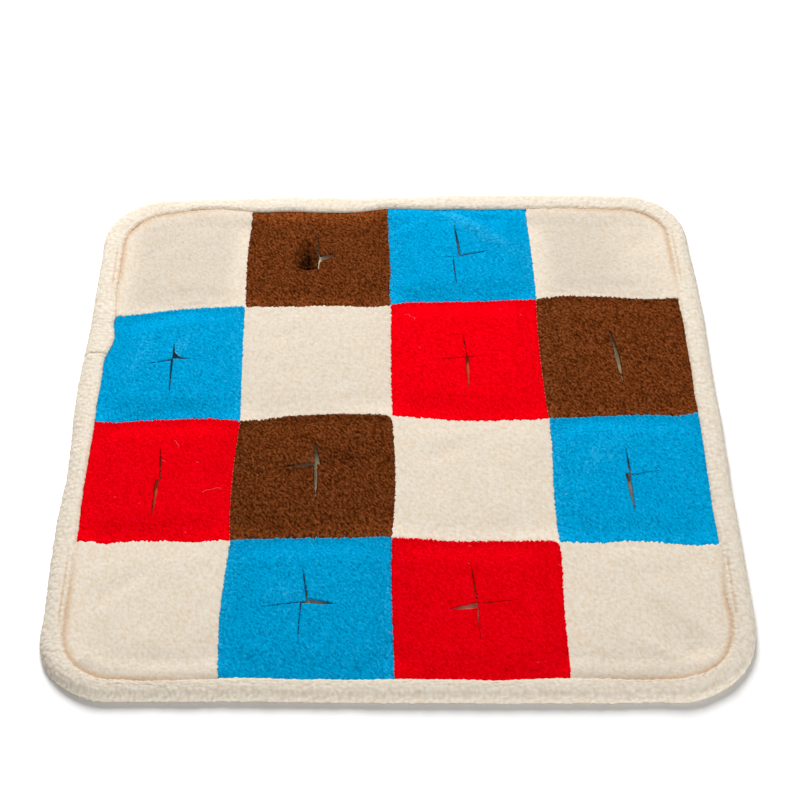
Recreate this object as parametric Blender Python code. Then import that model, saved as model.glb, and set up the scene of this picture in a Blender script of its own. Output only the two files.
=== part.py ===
"""A snuffle mat at its real size, in metres, with +Z up.

Sixteen fleece patches, four by four, lie on one base cloth. A folded fleece binding runs round the mat and
holds every raw edge in its groove. Ten coloured patches have a cross cut in them, whose four flaps open into
the treat pocket between the patch and the base cloth. The six cream patches are whole.

The mat lies flat. The origin is on the floor under its middle, -Y is the near side and +X the right side.
"""

import math

import bmesh
import bpy
from mathutils import Vector

MM = 0.001

# Driving sizes
CELL = 0.120  # one finished patch, seam to seam
HALF_SIDE = 0.2565  # middle of the mat to its outer edge, before the sewing's unevenness
CORNER_RADIUS = {"near_left": 0.056, "near_right": 0.064, "far_right": 0.054, "far_left": 0.052}
MIDDLE = Vector((0.0030, -0.00425, 0.0))  # middle of the uneven outline, from the middle seam crossing
GAP = 0.0003  # between pieces that touch

# Thicknesses and heights
BASE_THICK = 0.0020
PATCH_THICK = 0.0025
SOLE_THICK = 0.0014  # the binding's lower leg
BAND_WIDTH = 0.018
BAND_HEIGHT = 0.011
CLOTH_INSET = 0.0055  # outer edge of the mat to the cut edges of base cloth and patches
CREASE_RUN = 0.010  # the cloth climbs into the binding's groove over this distance
POCKET_RISE = 0.0052  # how far a pocket patch stands off the base cloth
PLAIN_RISE = 0.0020
CROWN_RUN = 0.030  # seam to the flat of the crown

# Mesh steps
POCKET_STEP = 0.0142
PLAIN_STEP = 0.0165
BASE_STEP = 0.050
SIDE_STATIONS = 9  # binding sections along one straight side
CORNER_STATIONS = 9  # binding sections round one corner
SMALL = 1e-6

# Far row first, left patch first
PATCHWORK = (
    ("cream", "brown", "blue", "cream"),
    ("blue", "cream", "red", "brown"),
    ("red", "brown", "cream", "blue"),
    ("cream", "blue", "red", "cream"),
)

# How far each seam crossing stands off an even grid, in mm: (to the right, away).
CROSSING_SHIFT = (
    # left edge, seam 1, seam 2, seam 3, right edge
    ((9.0, -3.0), (-0.8, -2.5), (-2.2, -5.0), (-0.8, -3.5), (0.0, -6.0)),  # far edge
    ((9.0, -5.0), (-1.5, 3.0), (0.0, 3.5), (1.4, 7.0), (1.5, 4.0)),
    ((6.0, -2.0), (0.4, 0.0), (-0.4, 1.8), (2.9, -3.5), (1.5, -5.0)),
    ((4.5, 0.0), (-1.4, 2.2), (-1.6, 1.5), (1.6, -3.5), (0.5, -11.0)),
    ((4.5, 2.0), (-3.3, 0.5), (-0.8, -3.0), (1.4, -5.0), (-1.0, -6.5)),  # near edge
)

# How far each seam bows between two crossings, in mm.
BOW_OF_CROSSWISE_SEAMS = (  # away, one row a seam from the far one, one column a patch, left first
    (4.0, 1.5, 3.0, 5.5),
    (3.0, 4.3, -2.0, 3.8),
    (0.8, 2.2, 0.8, 3.2),
)
BOW_OF_LENGTHWISE_SEAMS = (  # to the right, one row a seam from the left one, one column a patch, far first
    (-1.8, -0.4, -2.2, -2.8),
    (0.2, -0.9, 2.2, -1.2),
    (0.6, -1.6, -0.8, 0.5),
)

# Each cross cut, in mm. centre is from the patch's own middle, and arms are the lengths of the four cuts.
# A flap is the corner of cloth between two arms, and its tip moves by (to the right, away, up).
CUTS = {
    (0, 1): {
        "centre": (-2.0, -1.0), "arms": {"far": 21, "near": 23, "left": 19, "right": 19},
        "far_left": (-1.2, 0.5, -0.4), "far_right": (1.5, 3.6, 2.6),
        "near_left": (-2.2, -0.6, -0.6), "near_right": (3.0, -1.4, 0.5),
    },
    (0, 2): {
        "centre": (-3.0, -2.5), "arms": {"far": 36, "near": 31, "left": 16, "right": 26},
        "far_left": (2.0, 0.4, 0.0), "far_right": (3.4, 2.8, 1.6),
        "near_left": (-3.6, -0.4, 0.0), "near_right": (-2.4, -2.6, -0.2),
    },
    (1, 0): {
        "centre": (0.0, 2.0), "arms": {"far": 23, "near": 33, "left": 20, "right": 21},
        "far_left": (-0.6, 0.4, 0.4), "far_right": (4.8, 4.8, 3.0),
        "near_left": (-1.4, -0.5, 0.0), "near_right": (1.8, -0.8, 0.2),
    },
    (1, 2): {
        "centre": (0.5, -2.0), "arms": {"far": 24, "near": 31, "left": 23, "right": 23},
        "far_left": (-0.4, 0.4, 0.4), "far_right": (0.5, 0.4, 0.4),
        "near_left": (-2.6, -0.4, 0.0), "near_right": (2.6, -0.3, 0.0),
    },
    (1, 3): {
        "centre": (0.5, 1.5), "arms": {"far": 28, "near": 30, "left": 22, "right": 26},
        "far_left": (-3.0, 0.4, 0.3), "far_right": (3.0, 0.4, 0.2),
        "near_left": (-3.0, -0.4, 0.0), "near_right": (3.0, -0.4, 0.0),
    },
    (2, 0): {
        "centre": (0.0, -4.5), "arms": {"far": 28, "near": 32, "left": 23, "right": 23},
        "far_left": (1.2, 0.4, 0.3), "far_right": (2.4, 0.4, 0.4),
        "near_left": (-4.2, -0.4, 0.0), "near_right": (1.0, -0.4, 0.0),
    },
    (2, 1): {
        "centre": (2.0, 6.0), "arms": {"far": 25, "near": 33, "left": 28, "right": 32},
        "far_left": (-2.6, 2.2, 2.8), "far_right": (2.6, 0.4, 0.3),
        "near_left": (-2.6, -0.6, 0.0), "near_right": (2.4, -0.4, 0.0),
    },
    (2, 3): {
        "centre": (-2.0, 0.0), "arms": {"far": 24, "near": 34, "left": 20, "right": 25},
        "far_left": (-0.4, 0.4, 0.2), "far_right": (1.6, 0.6, 0.9),
        "near_left": (-2.9, -0.5, 0.0), "near_right": (2.3, -0.5, 0.0),
    },
    (3, 1): {
        "centre": (-3.5, 1.5), "arms": {"far": 28, "near": 31, "left": 27, "right": 25},
        "far_left": (0.8, 0.5, 0.3), "far_right": (2.4, 2.8, 1.0),
        "near_left": (-2.4, -0.4, 0.0), "near_right": (-1.6, -2.8, -0.3),
    },
    (3, 2): {
        "centre": (-1.0, -1.0), "arms": {"far": 33, "near": 32, "left": 26, "right": 30},
        "far_left": (-2.5, 1.8, 0.5), "far_right": (2.4, 1.5, 0.6),
        "near_left": (-2.7, -1.6, 0.0), "near_right": (2.3, -1.5, 0.2),
    },
}

# The outside of the binding's section, from its sole round the edge of the mat to the lip on the patches:
# (in from the outer edge as a share of BAND_WIDTH, up as a share of BAND_HEIGHT).
BAND_OUTSIDE = (
    (1.0, 0.0), (0.61, 0.0), (0.255, 0.0), (0.085, 0.12), (0.0, 0.40), (0.04, 0.69),
    (0.2, 0.92), (0.445, 1.0), (0.69, 0.955), (0.89, 0.82), (1.01, 0.665),
)
GROOVE_MIDDLE = 0.64  # the mesh line half way into the groove, as a share of BAND_WIDTH

COLOURS = {
    "cream": (0.84, 0.78, 0.66),
    "brown": (0.17, 0.045, 0.010),
    "blue": (0.0, 0.37, 0.68),
    "red": (0.78, 0.0, 0.005),
    "base": (0.30, 0.26, 0.19),
}


def clear_scene():
    for obj in list(bpy.data.objects):
        bpy.data.objects.remove(obj)


def cloth_material(name, colour):
    material = bpy.data.materials.new(name)
    material.use_nodes = True
    shader = material.node_tree.nodes["Principled BSDF"]
    shader.inputs["Base Color"].default_value = (*colour, 1.0)
    shader.inputs["Roughness"].default_value = 0.95
    shader.inputs["Metallic"].default_value = 0.0
    material.diffuse_color = (*colour, 1.0)
    return material


def ease(share):
    """A smooth step from 0 to 1."""
    share = min(max(share, 0.0), 1.0)
    return share * share * (3 - 2 * share)


def mix(low, high, share):
    return low + (high - low) * share


# The uneven sewing. Everything is laid out on an even square first, and then moved with the cloth.


def cell_place(distance):
    """Which cell a distance from the left or far edge line falls in, and how far through it."""
    cells = min(max(distance / CELL, 0.0), 4.0)
    cell = min(int(cells), 3)
    return cell, cells - cell


def sewn(x, y):
    """Where a point of the even layout lies on the sewn mat, from the mat's middle."""
    column, across = cell_place(x + 2 * CELL)
    row, along = cell_place(2 * CELL - y)
    shift = []
    for axis in (0, 1):
        corner = [
            [CROSSING_SHIFT[row + down][column + right][axis] for right in (0, 1)] for down in (0, 1)
        ]
        far, near = (mix(*pair, ease(across)) for pair in corner)
        shift.append(mix(far, near, ease(along)))
    for seam, bows in enumerate(BOW_OF_CROSSWISE_SEAMS, start=1):
        reach = max(0.0, 1 - abs(row + along - seam))
        shift[1] += bows[column] * math.sin(math.pi * across) * reach**2
    for seam, bows in enumerate(BOW_OF_LENGTHWISE_SEAMS, start=1):
        reach = max(0.0, 1 - abs(column + across - seam))
        shift[0] += bows[row] * math.sin(math.pi * along) * reach**2
    return x + shift[0] * MM - MIDDLE.x, y + shift[1] * MM - MIDDLE.y


def corner_radius(x, y):
    return CORNER_RADIUS[("far" if y > 0 else "near") + ("_right" if x > 0 else "_left")]


def inset_of(x, y):
    """How far a point of the even layout lies inside the round-cornered outline."""
    radius = corner_radius(x, y)
    past_x = abs(x) - (HALF_SIDE - radius)
    past_y = abs(y) - (HALF_SIDE - radius)
    outside = math.hypot(max(past_x, 0.0), max(past_y, 0.0)) + min(max(past_x, past_y), 0.0)
    return radius - outside


def rounded(x, y):
    """Pull the corner of a square cloth, cut CLOTH_INSET inside the outline, in to its round corner."""
    radius = corner_radius(x, y) - CLOTH_INSET
    arc_centre = HALF_SIDE - CLOTH_INSET - radius
    right, away = (abs(x) - arc_centre) / radius, (abs(y) - arc_centre) / radius
    if right <= 0 or away <= 0:
        return x, y
    return (
        math.copysign(arc_centre + radius * right * math.sqrt(1 - away**2 / 2), x),
        math.copysign(arc_centre + radius * away * math.sqrt(1 - right**2 / 2), y),
    )


def rim_lift(x, y):
    """The base cloth is on the floor, and climbs at the rim to lie on the binding's lower leg."""
    climbed = 1 - (inset_of(x, y) - BAND_WIDTH - GAP) / CREASE_RUN
    return (SOLE_THICK + GAP) * ease(climbed)


# Sheets of cloth


def cloth_lines(marks, step):
    """The places of a sheet's mesh lines: all the marks, with even steps between them."""
    marks = sorted(marks)
    lines = [marks[0]]
    for low, high in zip(marks, marks[1:]):
        pieces = max(1, math.ceil((high - low) / step - SMALL))
        lines += [mix(low, high, piece / pieces) for piece in range(1, pieces + 1)]
    return lines


def flat_sheet(x_lines, y_lines):
    """A flat one-sided sheet with its mesh lines at the given places."""
    bm = bmesh.new()
    columns, rows = len(x_lines) - 1, len(y_lines) - 1
    bmesh.ops.create_grid(bm, x_segments=columns, y_segments=rows, size=0.5)
    for vert in bm.verts:
        vert.co.x = x_lines[round((vert.co.x + 0.5) * columns)]
        vert.co.y = y_lines[round((vert.co.y + 0.5) * rows)]
    return bm


def thicken(bm, thickness):
    """Extrude a one-sided sheet upwards into a closed one."""
    grown = bmesh.ops.extrude_face_region(bm, geom=bm.faces[:])["geom"]
    upper = [item for item in grown if isinstance(item, bmesh.types.BMVert)]
    bmesh.ops.translate(bm, verts=upper, vec=(0, 0, thickness))
    bmesh.ops.recalc_face_normals(bm, faces=bm.faces[:])


def add_piece(name, bm, material, place, holder):
    """Make the finished piece an object of its own, with its origin at the given place."""
    bmesh.ops.translate(bm, verts=bm.verts[:], vec=-place)
    mesh = bpy.data.meshes.new(name)
    bm.to_mesh(mesh)
    bm.free()
    mesh.shade_smooth()
    mesh.set_sharp_from_angle(angle=math.radians(40))
    mesh.materials.append(material)
    obj = bpy.data.objects.new(name, mesh)
    obj.location = place
    obj.parent = holder
    bpy.context.scene.collection.objects.link(obj)


def add_base_cloth(material, holder):
    edge = HALF_SIDE - CLOTH_INSET
    crease = HALF_SIDE - BAND_WIDTH - GAP
    climb = crease - CREASE_RUN
    arc = HALF_SIDE - max(CORNER_RADIUS.values())
    half = [arc, (arc + climb) / 2, climb, (climb + crease) / 2, crease, edge]
    lines = cloth_lines([-mark for mark in half] + half, BASE_STEP)
    bm = flat_sheet(lines, lines)
    for vert in bm.verts:
        x, y = rounded(vert.co.x, vert.co.y)
        vert.co = Vector((*sewn(x, y), rim_lift(x, y)))
    thicken(bm, BASE_THICK)
    add_piece("base_cloth", bm, material, Vector((0, 0, 0)), holder)


# Patches


def patch_span(index):
    """Where a patch starts and ends along x, index from the left, or along y, index from the near side."""
    low, high = (index - 2) * CELL, (index - 1) * CELL
    edge = HALF_SIDE - CLOTH_INSET
    return (
        -edge if index == 0 else low + GAP / 2 + SMALL,
        edge if index == 3 else high - GAP / 2 - SMALL,
    )


def crown(x, y, x_index, y_index):
    """How much of its full height a patch has at a point: none along its seams, all in the middle."""
    height = ease((inset_of(x, y) - BAND_WIDTH) / CROWN_RUN)
    for place, index in ((x, x_index), (y, y_index)):
        low, high = patch_span(index)
        if index > 0:
            height *= ease((place - low) / CROWN_RUN)
        if index < 3:
            height *= ease((high - place) / CROWN_RUN)
    return height


def flap_shift(cut, centre, co, side):
    """How far the cloth at co moves with its flap. side points from the cut's centre to the flap."""
    away, right = side.y > 0, side.x > 0
    tip = cut[("far" if away else "near") + ("_right" if right else "_left")]
    across = abs(co.x - centre[0]) / (cut["arms"]["right" if right else "left"] * MM)
    along = abs(co.y - centre[1]) / (cut["arms"]["far" if away else "near"] * MM)
    if across >= 1 or along >= 1:
        return Vector((0, 0, 0))
    return MM * Vector((
        tip[0] * (1 - along**2) * (1 - across) ** 2,
        tip[1] * (1 - across**2) * (1 - along) ** 2,
        tip[2] * (1 - across) * (1 - along),
    ))


def open_cut(bm, cut, centre):
    """Cut the cross through the sheet, and return how far each vertex moves as its four flaps open."""
    reach = {side: length * MM + SMALL for side, length in cut["arms"].items()}

    def on_an_arm(edge):
        ends = [vert.co for vert in edge.verts]
        lengthwise = all(abs(co.x - centre[0]) < SMALL for co in ends)
        crosswise = all(abs(co.y - centre[1]) < SMALL for co in ends)
        return (
            lengthwise and all(-reach["near"] < co.y - centre[1] < reach["far"] for co in ends)
        ) or (
            crosswise and all(-reach["left"] < co.x - centre[0] < reach["right"] for co in ends)
        )

    bmesh.ops.split_edges(bm, edges=[edge for edge in bm.edges if on_an_arm(edge)])
    middle = Vector((*centre, 0))
    shifts = {}
    for vert in bm.verts:
        faces = vert.link_faces
        side = sum((face.calc_center_median() for face in faces), Vector()) / len(faces) - middle
        shifts[vert] = flap_shift(cut, centre, vert.co, side)
    return shifts


def add_patch(row, column, colour, material, holder):
    x_index, y_index = column, 3 - row
    x_marks, y_marks = set(patch_span(x_index)), set(patch_span(y_index))
    crease = HALF_SIDE - BAND_WIDTH - GAP
    for marks, index in ((x_marks, x_index), (y_marks, y_index)):
        if index in (0, 3):
            marks |= {math.copysign(crease, index - 1), math.copysign(crease - CREASE_RUN, index - 1)}
    cut = CUTS.get((row, column))
    if cut:
        middle = ((x_index - 1.5) * CELL, (y_index - 1.5) * CELL)
        centre = (middle[0] + cut["centre"][0] * MM, middle[1] + cut["centre"][1] * MM)
        arms = {side: length * MM for side, length in cut["arms"].items()}
        x_marks |= {centre[0] - arms["left"], centre[0], centre[0] + arms["right"]}
        y_marks |= {centre[1] - arms["near"], centre[1], centre[1] + arms["far"]}
    step = POCKET_STEP if cut else PLAIN_STEP
    bm = flat_sheet(cloth_lines(x_marks, step), cloth_lines(y_marks, step))
    shifts = open_cut(bm, cut, centre) if cut else {}
    rise = POCKET_RISE if cut else PLAIN_RISE
    for vert in bm.verts:
        x, y = rounded(vert.co.x, vert.co.y)
        shift = shifts.get(vert, Vector((0, 0, 0)))
        height = BASE_THICK + rim_lift(x, y) + GAP + rise * crown(x, y, x_index, y_index)
        vert.co = Vector((*sewn(x + shift.x, y + shift.y), height + shift.z))
    thicken(bm, PATCH_THICK)
    place = Vector((*sewn((x_index - 1.5) * CELL, (y_index - 1.5) * CELL), BASE_THICK))
    add_piece(f"patch_{colour}_r{row + 1}_c{column + 1}", bm, material, place, holder)


# Binding


def outline_stations():
    """Places round the mat, anticlockwise: (x, y, outward x, outward y, way out from there to the edge)."""
    stations = []
    corners = (("near_right", 1, -1), ("far_right", 1, 1), ("far_left", -1, 1), ("near_left", -1, -1))
    for turn, (name, right, away) in enumerate(corners):
        arc = HALF_SIDE - CORNER_RADIUS[name]
        for station in range(CORNER_STATIONS):
            angle = math.radians(90 * (turn - 1 + station / (CORNER_STATIONS - 1)))
            place = (right * arc, away * arc, math.cos(angle), math.sin(angle), CORNER_RADIUS[name])
            stations.append(place)
        next_name, next_right, next_away = corners[(turn + 1) % 4]
        next_arc = HALF_SIDE - CORNER_RADIUS[next_name]
        for station in range(1, SIDE_STATIONS):
            share = station / SIDE_STATIONS
            # A side that faces left or right runs along y, and one that faces far or near along x.
            if turn % 2 == 0:
                along = mix(away * arc, next_away * next_arc, share)
                stations.append((0.0, along, right, 0.0, HALF_SIDE))
            else:
                along = mix(right * arc, next_right * next_arc, share)
                stations.append((along, 0.0, 0.0, away, HALF_SIDE))
    return stations


def band_section():
    """The whole C: its outside, then the groove's roof, back and floor."""
    outside = [(inset * BAND_WIDTH, height * BAND_HEIGHT) for inset, height in BAND_OUTSIDE]
    back, middle = CLOTH_INSET - GAP, GROOVE_MIDDLE * BAND_WIDTH
    floor = SOLE_THICK
    roof = floor + BASE_THICK + PATCH_THICK + 3 * GAP
    above = [(inset, roof) for inset in (BAND_WIDTH, middle, back)]
    below = [(inset, floor) for inset in (back, middle, BAND_WIDTH)]
    return outside + above + below


def add_binding(material, holder):
    section, stations = band_section(), outline_stations()
    bm = bmesh.new()
    bmesh.ops.create_grid(bm, x_segments=len(section), y_segments=len(stations), size=0.5)
    for vert in bm.verts:
        point = round((vert.co.x + 0.5) * len(section)) % len(section)
        station = round((vert.co.y + 0.5) * len(stations)) % len(stations)
        inset, height = section[point]
        x, y, out_x, out_y, way_out = stations[station]
        out = way_out - inset
        vert.co = Vector((*sewn(x + out * out_x, y + out * out_y), height))
    bmesh.ops.remove_doubles(bm, verts=bm.verts[:], dist=SMALL)
    bmesh.ops.recalc_face_normals(bm, faces=bm.faces[:])
    add_piece("binding", bm, material, Vector((0, 0, 0)), holder)


def main():
    clear_scene()
    holder = bpy.data.objects.new("snuffle_mat", None)
    bpy.context.scene.collection.objects.link(holder)
    materials = {name: cloth_material(f"{name}_cloth", colour) for name, colour in COLOURS.items()}
    add_base_cloth(materials["base"], holder)
    for row, colours in enumerate(PATCHWORK):
        for column, colour in enumerate(colours):
            add_patch(row, column, colour, materials[colour], holder)
    add_binding(materials["cream"], holder)


main()
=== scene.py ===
# %% [markdown]
# # A snuffle mat in berber fleece
#
# The real mat is sewn from cloth alone. Sixteen square patches, four by four, lie on one base cloth, and a
# folded binding closes the edge. The ten coloured patches have a cross cut through them, so that treats can be
# hidden in the pocket below. Everything that shows is curled fleece, so most of the work here is in two
# things: the unevenness that the sewing gave the mat, and the curls of the pile.
#
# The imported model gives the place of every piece. Each piece below is made again in fine mesh around its
# solid, and then stands for it.

import math

import bmesh
import bpy
import numpy as np
from mathutils import Matrix, Vector
from mathutils.bvhtree import BVHTree


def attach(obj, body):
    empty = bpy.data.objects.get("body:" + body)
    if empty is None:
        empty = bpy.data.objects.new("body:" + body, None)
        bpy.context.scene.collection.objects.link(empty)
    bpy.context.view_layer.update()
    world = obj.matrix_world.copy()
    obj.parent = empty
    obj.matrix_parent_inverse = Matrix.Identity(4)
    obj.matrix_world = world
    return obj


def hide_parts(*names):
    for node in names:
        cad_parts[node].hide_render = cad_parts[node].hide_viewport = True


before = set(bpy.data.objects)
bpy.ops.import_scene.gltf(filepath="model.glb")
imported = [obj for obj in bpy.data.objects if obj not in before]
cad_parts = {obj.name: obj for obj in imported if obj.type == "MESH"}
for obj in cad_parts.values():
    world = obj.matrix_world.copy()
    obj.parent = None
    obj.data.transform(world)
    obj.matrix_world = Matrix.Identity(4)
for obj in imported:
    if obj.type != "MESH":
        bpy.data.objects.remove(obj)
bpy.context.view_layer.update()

# %% [markdown]
# ## How the mat was laid out
#
# A maker cuts every patch to one size, so the plan of the mat is an even square. The sewing then pulls it
# about: seam crossings wander by some millimetres and seams bow between them. Both can be kept apart here.
# Every piece is first drawn on the even plan, where a patch edge is a straight line, and is then moved by one
# function, `sewn`. The patches, the binding and the cuts all go through it, so they always meet.

# %% Sizes of the plan, in metres
MM = 0.001
CELL = 0.120  # a finished patch, seam to seam
HALF_SIDE = 0.2565
CORNER_RADIUS = {(-1, -1): 0.056, (1, -1): 0.064, (1, 1): 0.054, (-1, 1): 0.052}  # (right, away)
MIDDLE = np.array((0.0030, -0.00425))
GAP = 0.0003
BASE_THICK = 0.0020
BACKING = 0.0020  # a patch without its pile
SOLE_THICK = 0.0014
BAND_WIDTH, BAND_HEIGHT = 0.018, 0.011
CLOTH_INSET = 0.0055
CREASE_RUN = 0.022
POCKET_RISE, PLAIN_RISE, CROWN_RUN = 0.0052, 0.0014, 0.024
CREASE = HALF_SIDE - BAND_WIDTH - GAP  # where the binding's lip lies on the patches
SMALL = 1e-6

PATCHWORK = (
    ("cream", "brown", "blue", "cream"),
    ("blue", "cream", "red", "brown"),
    ("red", "brown", "cream", "blue"),
    ("cream", "blue", "red", "cream"),
)

# %% How far the sewing pulled each crossing and seam, in mm
CROSSING_SHIFT = np.array((  # (right, away): far edge first, left edge first
    ((9.0, -3.0), (-0.8, -2.5), (-2.2, -5.0), (-0.8, -3.5), (0.0, -6.0)),
    ((9.0, -5.0), (-1.5, 3.0), (0.0, 3.5), (1.4, 7.0), (1.5, 4.0)),
    ((6.0, -2.0), (0.4, 0.0), (-0.4, 1.8), (2.9, -3.5), (1.5, -5.0)),
    ((4.5, 0.0), (-1.4, 2.2), (-1.6, 1.5), (1.6, -3.5), (0.5, -11.0)),
    ((4.5, 2.0), (-3.3, 0.5), (-0.8, -3.0), (1.4, -5.0), (-1.0, -6.5)),
))
BOW_OF_CROSSWISE_SEAMS = ((3.0, 1.5, 1.9, 4.1), (1.7, 2.7, -2.2, 2.4), (0.8, 0.9, -0.5, 3.2))
BOW_OF_LENGTHWISE_SEAMS = ((-1.8, -0.4, -2.2, -2.8), (0.2, -0.9, 2.2, -1.2), (0.6, -1.6, -0.8, 0.5))


def ease(share):
    share = np.clip(share, 0, 1)
    return share * share * (3 - 2 * share)


def mix(low, high, share):
    return low + (high - low) * share


# Single spots where a stitch drew the cloth: (right, away) on the plan, (pull right, pull away), reach
PULLS = (
    (-243, 118, 0, -3.5, 13), (243, 112, 0, -2.2, 10), (243, 2, 0, 1.8, 9), (-115, 120, 0, 1.8, 18), (-20, 120, 0, -1.6, 16),
    (15, 120, 0, 2.0, 18), (75, 120, 0, -1.2, 22), (140, 120, 0, 2.0, 20), (200, 120, 0, -1.3, 18), (-236, 0, 0, -1.6, 14),
    (-150, 0, 0, 0.7, 20), (-108, 0, 0, -2.4, 22), (48, 0, 0, -1.8, 30), (145, 0, 0, -1.0, 24), (205, 0, 0, 0.9, 16),
    (-195, -120, 0, 1.0, 14), (-147, -120, 0, -1.3, 16), (-8, -120, 0, 1.3, 14), (45, -120, 0, -1.8, 24), (110, -120, 0, 0.6, 12),
    (147, -120, 0, -3.0, 22), (236, -120, 0, -2.0, 10), (0, 137, -1.3, 0, 20), (0, -75, 0.9, 0, 45), (120, -34, 0.8, 0, 26),
    (0, -200, 0.7, 0, 40), (120, -136, 1.4, 0, 22), (120, -228, 0.7, 0, 16),
)


def sewn(x, y):
    """Where points of the even plan lie on the sewn mat."""
    cells = np.clip(np.stack((x + 2 * CELL, 2 * CELL - y)) / CELL, 0, 4)
    column, row = np.minimum(cells.astype(int), 3)
    across, along = cells[0] - column, cells[1] - row
    far, near = (
        mix(CROSSING_SHIFT[line, column], CROSSING_SHIFT[line, column + 1], ease(across)[:, None])
        for line in (row, row + 1)
    )
    shift = mix(far, near, ease(along)[:, None])
    for seam in (1, 2, 3):
        reach = np.maximum(0, 1 - abs(row + along - seam))
        bow = np.array(BOW_OF_CROSSWISE_SEAMS[seam - 1])[column]
        shift[:, 1] += bow * np.sin(np.pi * across) * reach**2
        reach = np.maximum(0, 1 - abs(column + across - seam))
        bow = np.array(BOW_OF_LENGTHWISE_SEAMS[seam - 1])[row]
        shift[:, 0] += bow * np.sin(np.pi * along) * reach**2
    for right, away, pull_right, pull_away, reach in PULLS:
        near = np.exp(-(((x / MM - right) ** 2 + (y / MM - away) ** 2) / reach**2))
        shift += near[:, None] * (pull_right, pull_away)
    return np.stack((x, y), 1) + shift * MM - MIDDLE


def corner_radius(x, y):
    right, away = np.where(x > 0, 1, 0), np.where(y > 0, 1, 0)
    table = np.array([[CORNER_RADIUS[-1, -1], CORNER_RADIUS[-1, 1]], [CORNER_RADIUS[1, -1], CORNER_RADIUS[1, 1]]])
    return table[right, away]


def inset_of(x, y):
    """How far points of the plan lie inside its round-cornered outline."""
    radius = corner_radius(x, y)
    past_x, past_y = abs(x) - (HALF_SIDE - radius), abs(y) - (HALF_SIDE - radius)
    outside = np.hypot(np.maximum(past_x, 0), np.maximum(past_y, 0))
    return radius - outside - np.minimum(np.maximum(past_x, past_y), 0)


def rounded(x, y):
    """Draw the square corner of a cloth in to its round one."""
    radius = corner_radius(x, y) - CLOTH_INSET
    arc = HALF_SIDE - CLOTH_INSET - radius
    right, away = (abs(x) - arc) / radius, (abs(y) - arc) / radius
    inside = (right <= 0) | (away <= 0)
    right, away = np.clip(right, 0, 1), np.clip(away, 0, 1)
    return (
        np.where(inside, x, np.copysign(arc + radius * right * np.sqrt(1 - away**2 / 2), x)),
        np.where(inside, y, np.copysign(arc + radius * away * np.sqrt(1 - right**2 / 2), y)),
    )


# Where the binding's lip lies nearer the outer edge: (right, away) of the spot's middle, how far and how long, mm
LIP_SWINGS = (
    (-165, 250, 4.0, 26), (-90, 250, 1.3, 40), (5, 250, 4.6, 28), (48, 250, 2.6, 24), (95, 250, 1.2, 30),
    (150, 250, 1.2, 30), (252, -165, -1.2, 9), (252, -138, 1.0, 9), (252, -192, 1.0, 10), (-252, 150, 1.0, 8),
    (-228, 228, -4.5, 26), (-138, 250, 2.0, 18), (250, 112, -1.6, 10), (-160, -250, 3.6, 46), (-212, -236, 2.2, 24), (175, -250, 2.0, 34),
    (228, -228, 3.2, 22),
    (-66, -250, 1.9, 36), (62, -250, 2.2, 38), (0, -250, 1.5, 190), (-252, 122, -1.8, 8), (-250, 20, 1.2, 60), (-250, -60, 1.1, 36), (-250, 64, 1.4, 12),
    (-250, 90, -4.2, 13), (250, 0, -0.2, 150), (250, 60, 0.7, 50),
)


# Where the outer edge bulges out or stays back, in the same terms
EDGE_SWINGS = (
    (-80, 250, 2.8, 48), (0, 250, 1.4, 30), (68, 250, 2.8, 40), (-250, 190, -1.5, 34), (-250, -30, -1.5, 42),
    (-250, -70, -1.0, 22), (-250, -190, -1.0, 30), (250, 190, -1.0, 50), (-170, -250, -2.2, 60),
    (0, 250, 2.9, 220), (-190, 250, 1.5, 60), (180, 250, 1.6, 60), (250, 190, -2.0, 34), (-250, 40, 1.3, 60),
    (250, -60, -1.3, 22), (0, -250, -1.4, 300), (-40, -250, -1.9, 60), (80, -250, -1.5, 60), (190, -250, -2.0, 40), (250, 60, -0.8, 80), (250, -80, -0.4, 80),
)


def swings(table, x, y):
    total = np.zeros(len(x))
    for right, away, swing, reach in table:
        total += swing * MM * np.exp(-(((x / MM - right) ** 2 + (y / MM - away) ** 2) / reach**2))
    return total


def outline_point(x, y):
    """The place on the outline that is nearest to each point."""
    radius = corner_radius(x, y)
    arc = HALF_SIDE - radius
    core_x, core_y = np.clip(x, -arc, arc), np.clip(y, -arc, arc)
    length = np.maximum(np.hypot(x - core_x, y - core_y), SMALL)
    return core_x + (x - core_x) / length * radius, core_y + (y - core_y) / length * radius


def lip_inset(x, y):
    """How far inside the outline the binding's lip ends."""
    return BAND_WIDTH - swings(LIP_SWINGS, *outline_point(x, y))


def lip_rise(x, y):
    """Where the strip lies narrow, its lip stays high and the patch is pushed up to meet it."""
    return 0.28 * np.maximum(0, BAND_WIDTH - lip_inset(x, y))


def rim_lift(x, y):
    """The cloths climb at the rim to lie on the binding's lower leg."""
    return (SOLE_THICK + GAP) * ease(1 - (inset_of(x, y) - BAND_WIDTH - GAP) / CREASE_RUN)


print("middle crossing after sewing, mm:", (sewn(np.zeros(1), np.zeros(1)) / MM).round(2))

# %% [markdown]
# ## The pile
#
# Berber fleece is brushed and tumbled until its pile rolls into small firm curls, here about 2.5 mm across.
# Hair particles would need millions of strands, and bump alone would leave the seams and the outline smooth.
# So the curls are real relief: seeds are scattered on a jittered grid, each with a dome of its own length,
# height and turn, and the cloth's surface is the highest dome at each point. Where domes meet there is a
# narrow dark hollow, as between real curls. Each curl also keeps a shade of its own, for the material.

# %% Curls and slow unevenness as formulas on the plan
CURL = {"cream": 0.0027, "binding": 0.0034, "blue": 0.0019, "brown": 0.0020, "red": 0.0019}  # curl to curl
COMBED = -0.93  # the way the nap leans, in radians on the plan


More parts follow.
